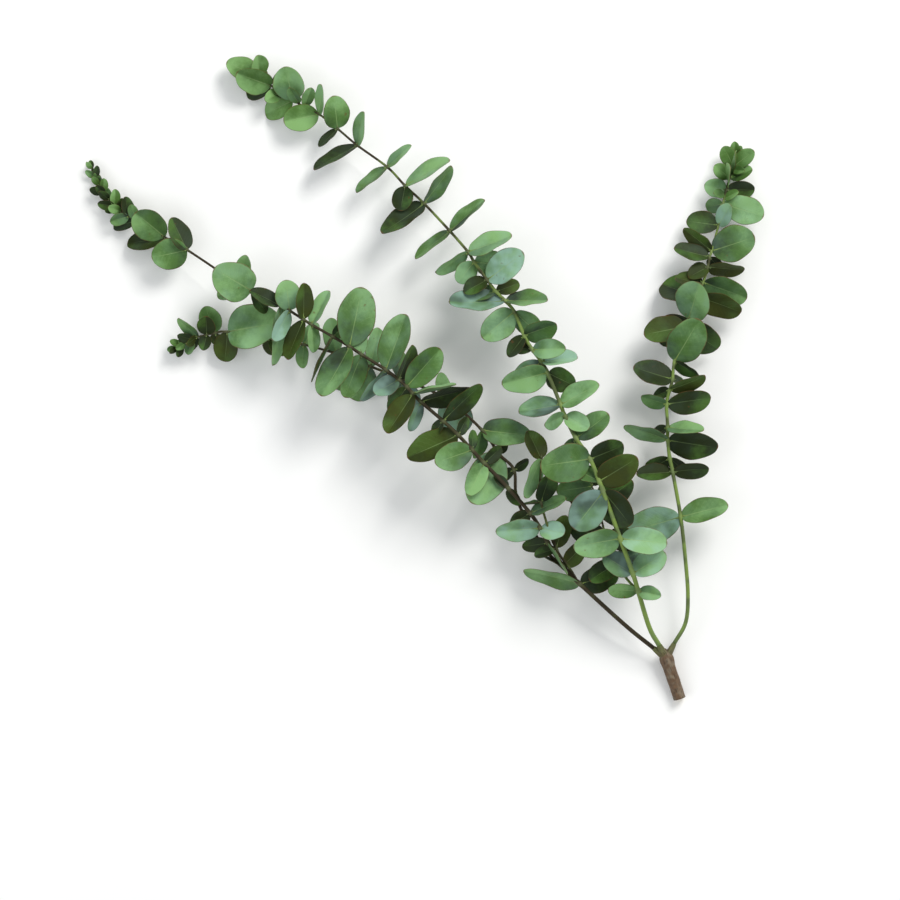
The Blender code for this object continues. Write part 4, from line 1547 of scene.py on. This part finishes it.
@dataclass
class WoodyTwig:
    """The woody twig: fork, stubs that run into the shoots, and the cut end."""

    path: tuple = ((664, 652, 9.0), FORK, (672, 672, 6.6), (677, 686, 5.0), (682, 701, 4.1))
    radii: tuple = (0.0030, 0.0050, 0.0045, 0.0043, 0.0044)
    spacing: float = 0.0011
    sides: int = 28
    ridge: float = 0.055
    cut_depths: tuple = (0.96, 0.90, 0.70, 0.45, 0.20, 0.0)    # shares of the radius at the cut
    cut_step: float = 0.00006
    least_depth: float = 0.04
    stubs: tuple = ((LEFT_FOOT, 0.0021), (CENTRE_FOOT, 0.0024), (RIGHT_FOOT, 0.0020))
    stub_sides: int = 18
    stub_shape: tuple = ((-0.001, 1.42), (0.002, 1.34), (0.004, 1.24), (0.006, 1.14), (0.008, 1.04),
                         (0.010, 0.95), (0.0114, 0.88), (0.01215, 0.80))   # reach, radius share
    green_reach: float = 0.011
    draw: random.Random = field(default_factory=lambda: random.Random(12))

    def __post_init__(self) -> None:
        """Open the mesh."""
        self.tubes = TubeMaker("twig", ("young", "depth"))

    def build(self, bark: bpy.types.Material, cut: bpy.types.Material) -> bpy.types.Object:
        """Build the twig.

        Args:
            bark: The bark's finish.
            cut: The cut end's finish.

        Returns:
            The finished piece.
        """
        self.draw_wood()
        for foot, radius in self.stubs:
            self.draw_stub(foot, radius)
        piece = self.tubes.finish([bark, cut])
        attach(piece, "root")
        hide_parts("woody_base")
        LOG.info("%s: %d faces", piece.name, len(piece.data.polygons))
        return piece

    def draw_wood(self) -> None:
        """Draw the twig from its fork to the cut, which the last rings close."""
        path = curve_through([place(*row) for row in self.path], self.spacing)
        points = [point for point, _ in path]
        radii = []
        for _, share in path:
            k = min(int(share), len(self.radii) - 2)
            t = share - k
            t = t * t * (3 - 2 * t)
            radii.append(self.radii[k] + (self.radii[k + 1] - self.radii[k]) * t)
        marks = [{"young": 0.0, "depth": 1.0} for _ in points]
        ahead = (points[-1] - points[-2]).normalized()
        for depth in self.cut_depths:
            points.append(points[-1] + ahead * self.cut_step)
            radii.append(radii[len(path) - 1] * max(depth, self.least_depth))
            marks.append({"young": 0.0, "depth": depth})
        rings = self.tubes.add(points, radii, self.sides, marks, cap=1)
        self.carve(rings, points, len(path) - 1)
        self.show_cut(rings[len(path):])

    def draw_stub(self, foot: tuple, radius: float) -> None:
        """Draw the stub from which one shoot grows.

        Args:
            foot: The shoot's first grid places.
            radius: The stub's radius.
        """
        fork = place(*FORK)
        ahead = (place(*foot[0]) - fork).normalized()
        line = [fork + ahead * reach for reach, _ in self.stub_shape]
        thick = [radius * share for _, share in self.stub_shape]
        marks = [{"young": min(1.0, max(0.0, reach) / self.green_reach), "depth": 1.0}
                 for reach, _ in self.stub_shape]
        rings = self.tubes.add(line, thick, self.stub_sides, marks)
        self.carve(rings, line, len(line))

    def carve(self, rings: list, points: list[Vector], last: int) -> None:
        """Push long uneven ridges into a tube of bark.

        Args:
            rings: The tube's rings.
            points: Its middle line.
            last: The ring whose outline all later ones keep.
        """
        phase = [self.draw.uniform(0, math.tau) for _ in range(4)]
        for number, (ring, middle) in enumerate(zip(rings, points)):
            k = min(number, last)
            for vert in ring:
                turn = vert[self.tubes.layer["round"]] * math.tau
                push = math.sin(5 * turn + phase[0] + 0.12 * k)
                push += 0.7 * math.sin(9 * turn + phase[1] - 0.21 * k)
                push += 0.6 * math.sin(2 * turn + phase[2] + 0.45 * k)
                push += 0.4 * math.sin(0.9 * k + phase[3])
                vert.co = middle + (vert.co - middle) * (1.0 + self.ridge * 0.5 * push)
                vert.co.z = max(vert.co.z, 0.0)

    def show_cut(self, rings: list) -> None:
        """Give the faces between the shrinking last rings the cut wood's finish.

        Args:
            rings: The rings of the cut end.
        """
        cut = [vert for ring in rings for vert in ring]
        for face in linked(cut, "link_faces"):
            if all(vert in cut for vert in face.verts):
                face.material_index = 1


@dataclass
class Studio:
    """The floor, the soft light and the camera over the sprig."""

    view_middle: tuple = (450.0, 450.0)
    field_width: float = 0.63
    height: float = 2.5
    sprig_height: float = 0.03
    floor_half: float = 6.0
    lamps: tuple = (("window", (1.1, 1.5, 1.7), 1.1, 46.0, (1.0, 0.985, 0.96)),
                    ("fill", (-1.8, -0.7, 1.5), 1.8, 14.0, (0.94, 0.97, 1.0)))
    surround: tuple = (0.96, 0.98, 1.0, 1.0)
    surround_power: float = 0.62
    sensor: float = 36.0
    far: float = 50.0

    def floor(self, finish: bpy.types.Material) -> None:
        """Lay the floor.

        Args:
            finish: Its material.
        """
        bm = bmesh.new()
        bmesh.ops.create_grid(bm, x_segments=4, y_segments=4, size=self.floor_half)
        plane = finish_mesh("floor", bm, [finish])

    def lamp(self, name: str, where: tuple, size: float, power: float, colour: tuple) -> None:
        """Hang a soft square lamp that looks at the sprig.

        Args:
            name: The lamp's name.
            where: Its place in metres.
            size: Its side in metres.
            power: Its power in watts.
            colour: Its red, green and blue.
        """
        data = bpy.data.lights.new(name, "AREA")
        data.size, data.energy, data.color = size, power, colour
        lamp = bpy.data.objects.new(name, data)
        lamp.location = where
        lamp.rotation_euler = (-Vector(where)).to_track_quat("-Z", "Y").to_euler()
        bpy.context.scene.collection.objects.link(lamp)

    def light(self) -> None:
        """Set the soft daylight and the pale surround."""
        for lamp in self.lamps:
            self.lamp(*lamp)
        world = bpy.data.worlds.new("surround")
        world.use_nodes = True
        back = world.node_tree.nodes["Background"]
        back.inputs["Color"].default_value = self.surround
        back.inputs["Strength"].default_value = self.surround_power
        bpy.context.scene.world = world
        bpy.context.scene.view_settings.view_transform = "Standard"

    def camera(self) -> None:
        """Set the camera straight over the page's middle."""
        over = place(self.view_middle[0], self.view_middle[1], 0.0)
        data = bpy.data.cameras.new("camera")
        data.sensor_width = self.sensor
        data.lens = self.sensor * self.height / self.field_width
        data.clip_end = self.far
        camera = bpy.data.objects.new("camera", data)
        camera.location = (over.x, over.y, self.height + self.sprig_height)
        bpy.context.scene.collection.objects.link(camera)
        bpy.context.scene.camera = camera


def grow_shoots() -> list[Shoot]:
    """Lay out the six shoots from the tables, in the order of the shared seed.

    Returns:
        The shoots.
    """
    rng = random.Random(SEED)
    long_rows = LEFT_LONG + tip_rows(LEFT_LONG[-1], LEFT_LONG_TIP, 8, 21, 10, 50)
    short_rows = LEFT_SHORT + tip_rows(LEFT_SHORT[-1], LEFT_SHORT_TIP, 4, 17, 11, 62)
    centre = Shoot("centre", shoot_start(CENTRE_FOOT), CENTRE_FOOT, CENTRE,
                   (0.0019, 0.0007), (0.05, 0.90), rng, 3, (GREEN, FRESH, GREEN))
    right = Shoot("right", shoot_start(RIGHT_FOOT), RIGHT_FOOT, RIGHT,
                  (0.0016, 0.0007), (0.22, 0.62), rng, 4, (FRESH, FRESH, GREEN))
    long = Shoot("long", shoot_start(LEFT_FOOT), LEFT_FOOT, long_rows,
                 (0.0017, 0.0006), (0.95, 1.0), rng, 8)
    short = Shoot("short", place(*LEFT_SHORT_FOOT[0]), LEFT_SHORT_FOOT[1:], short_rows,
                  (0.0013, 0.0006), (0.90, 1.0), rng, 4)
    low = Shoot("low", place(*BASE_FOOT[0]), BASE_FOOT[1:], BASE_SHOOT,
                (0.0012, 0.0008), (0.70, 0.9), rng)
    under = Shoot("under", place(*UNDER_FOOT[0]), UNDER_FOOT[1:], UNDER_SHOOT,
                  (0.0011, 0.0007), (0.5, 0.8), rng)
    return [centre, right, long, low, short, under]


def main() -> None:
    """Load the frame, build and dress every piece, and set the studio."""
    logging.basicConfig(level=logging.INFO, format="%(message)s")
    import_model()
    effects = SharedEffects()
    leaf_skin, stem_skin = LeafFinish().make(effects), StemFinish().make(effects)

    foliage = Foliage(grow_shoots())
    foliage.clear()
    foliage.dress("centre_stem", ("centre", "under"), leaf_skin, stem_skin)
    foliage.dress("right_stem", ("right",), leaf_skin, stem_skin)
    foliage.dress("left_spray", ("long", "short", "low"), leaf_skin, stem_skin)
    WoodyTwig().build(BarkFinish().make(effects), CutWoodFinish().make(effects))

    studio = Studio()
    studio.floor(FloorFinish().make(effects))
    studio.light()
    studio.camera()


if __name__ == "__main__":
    main()
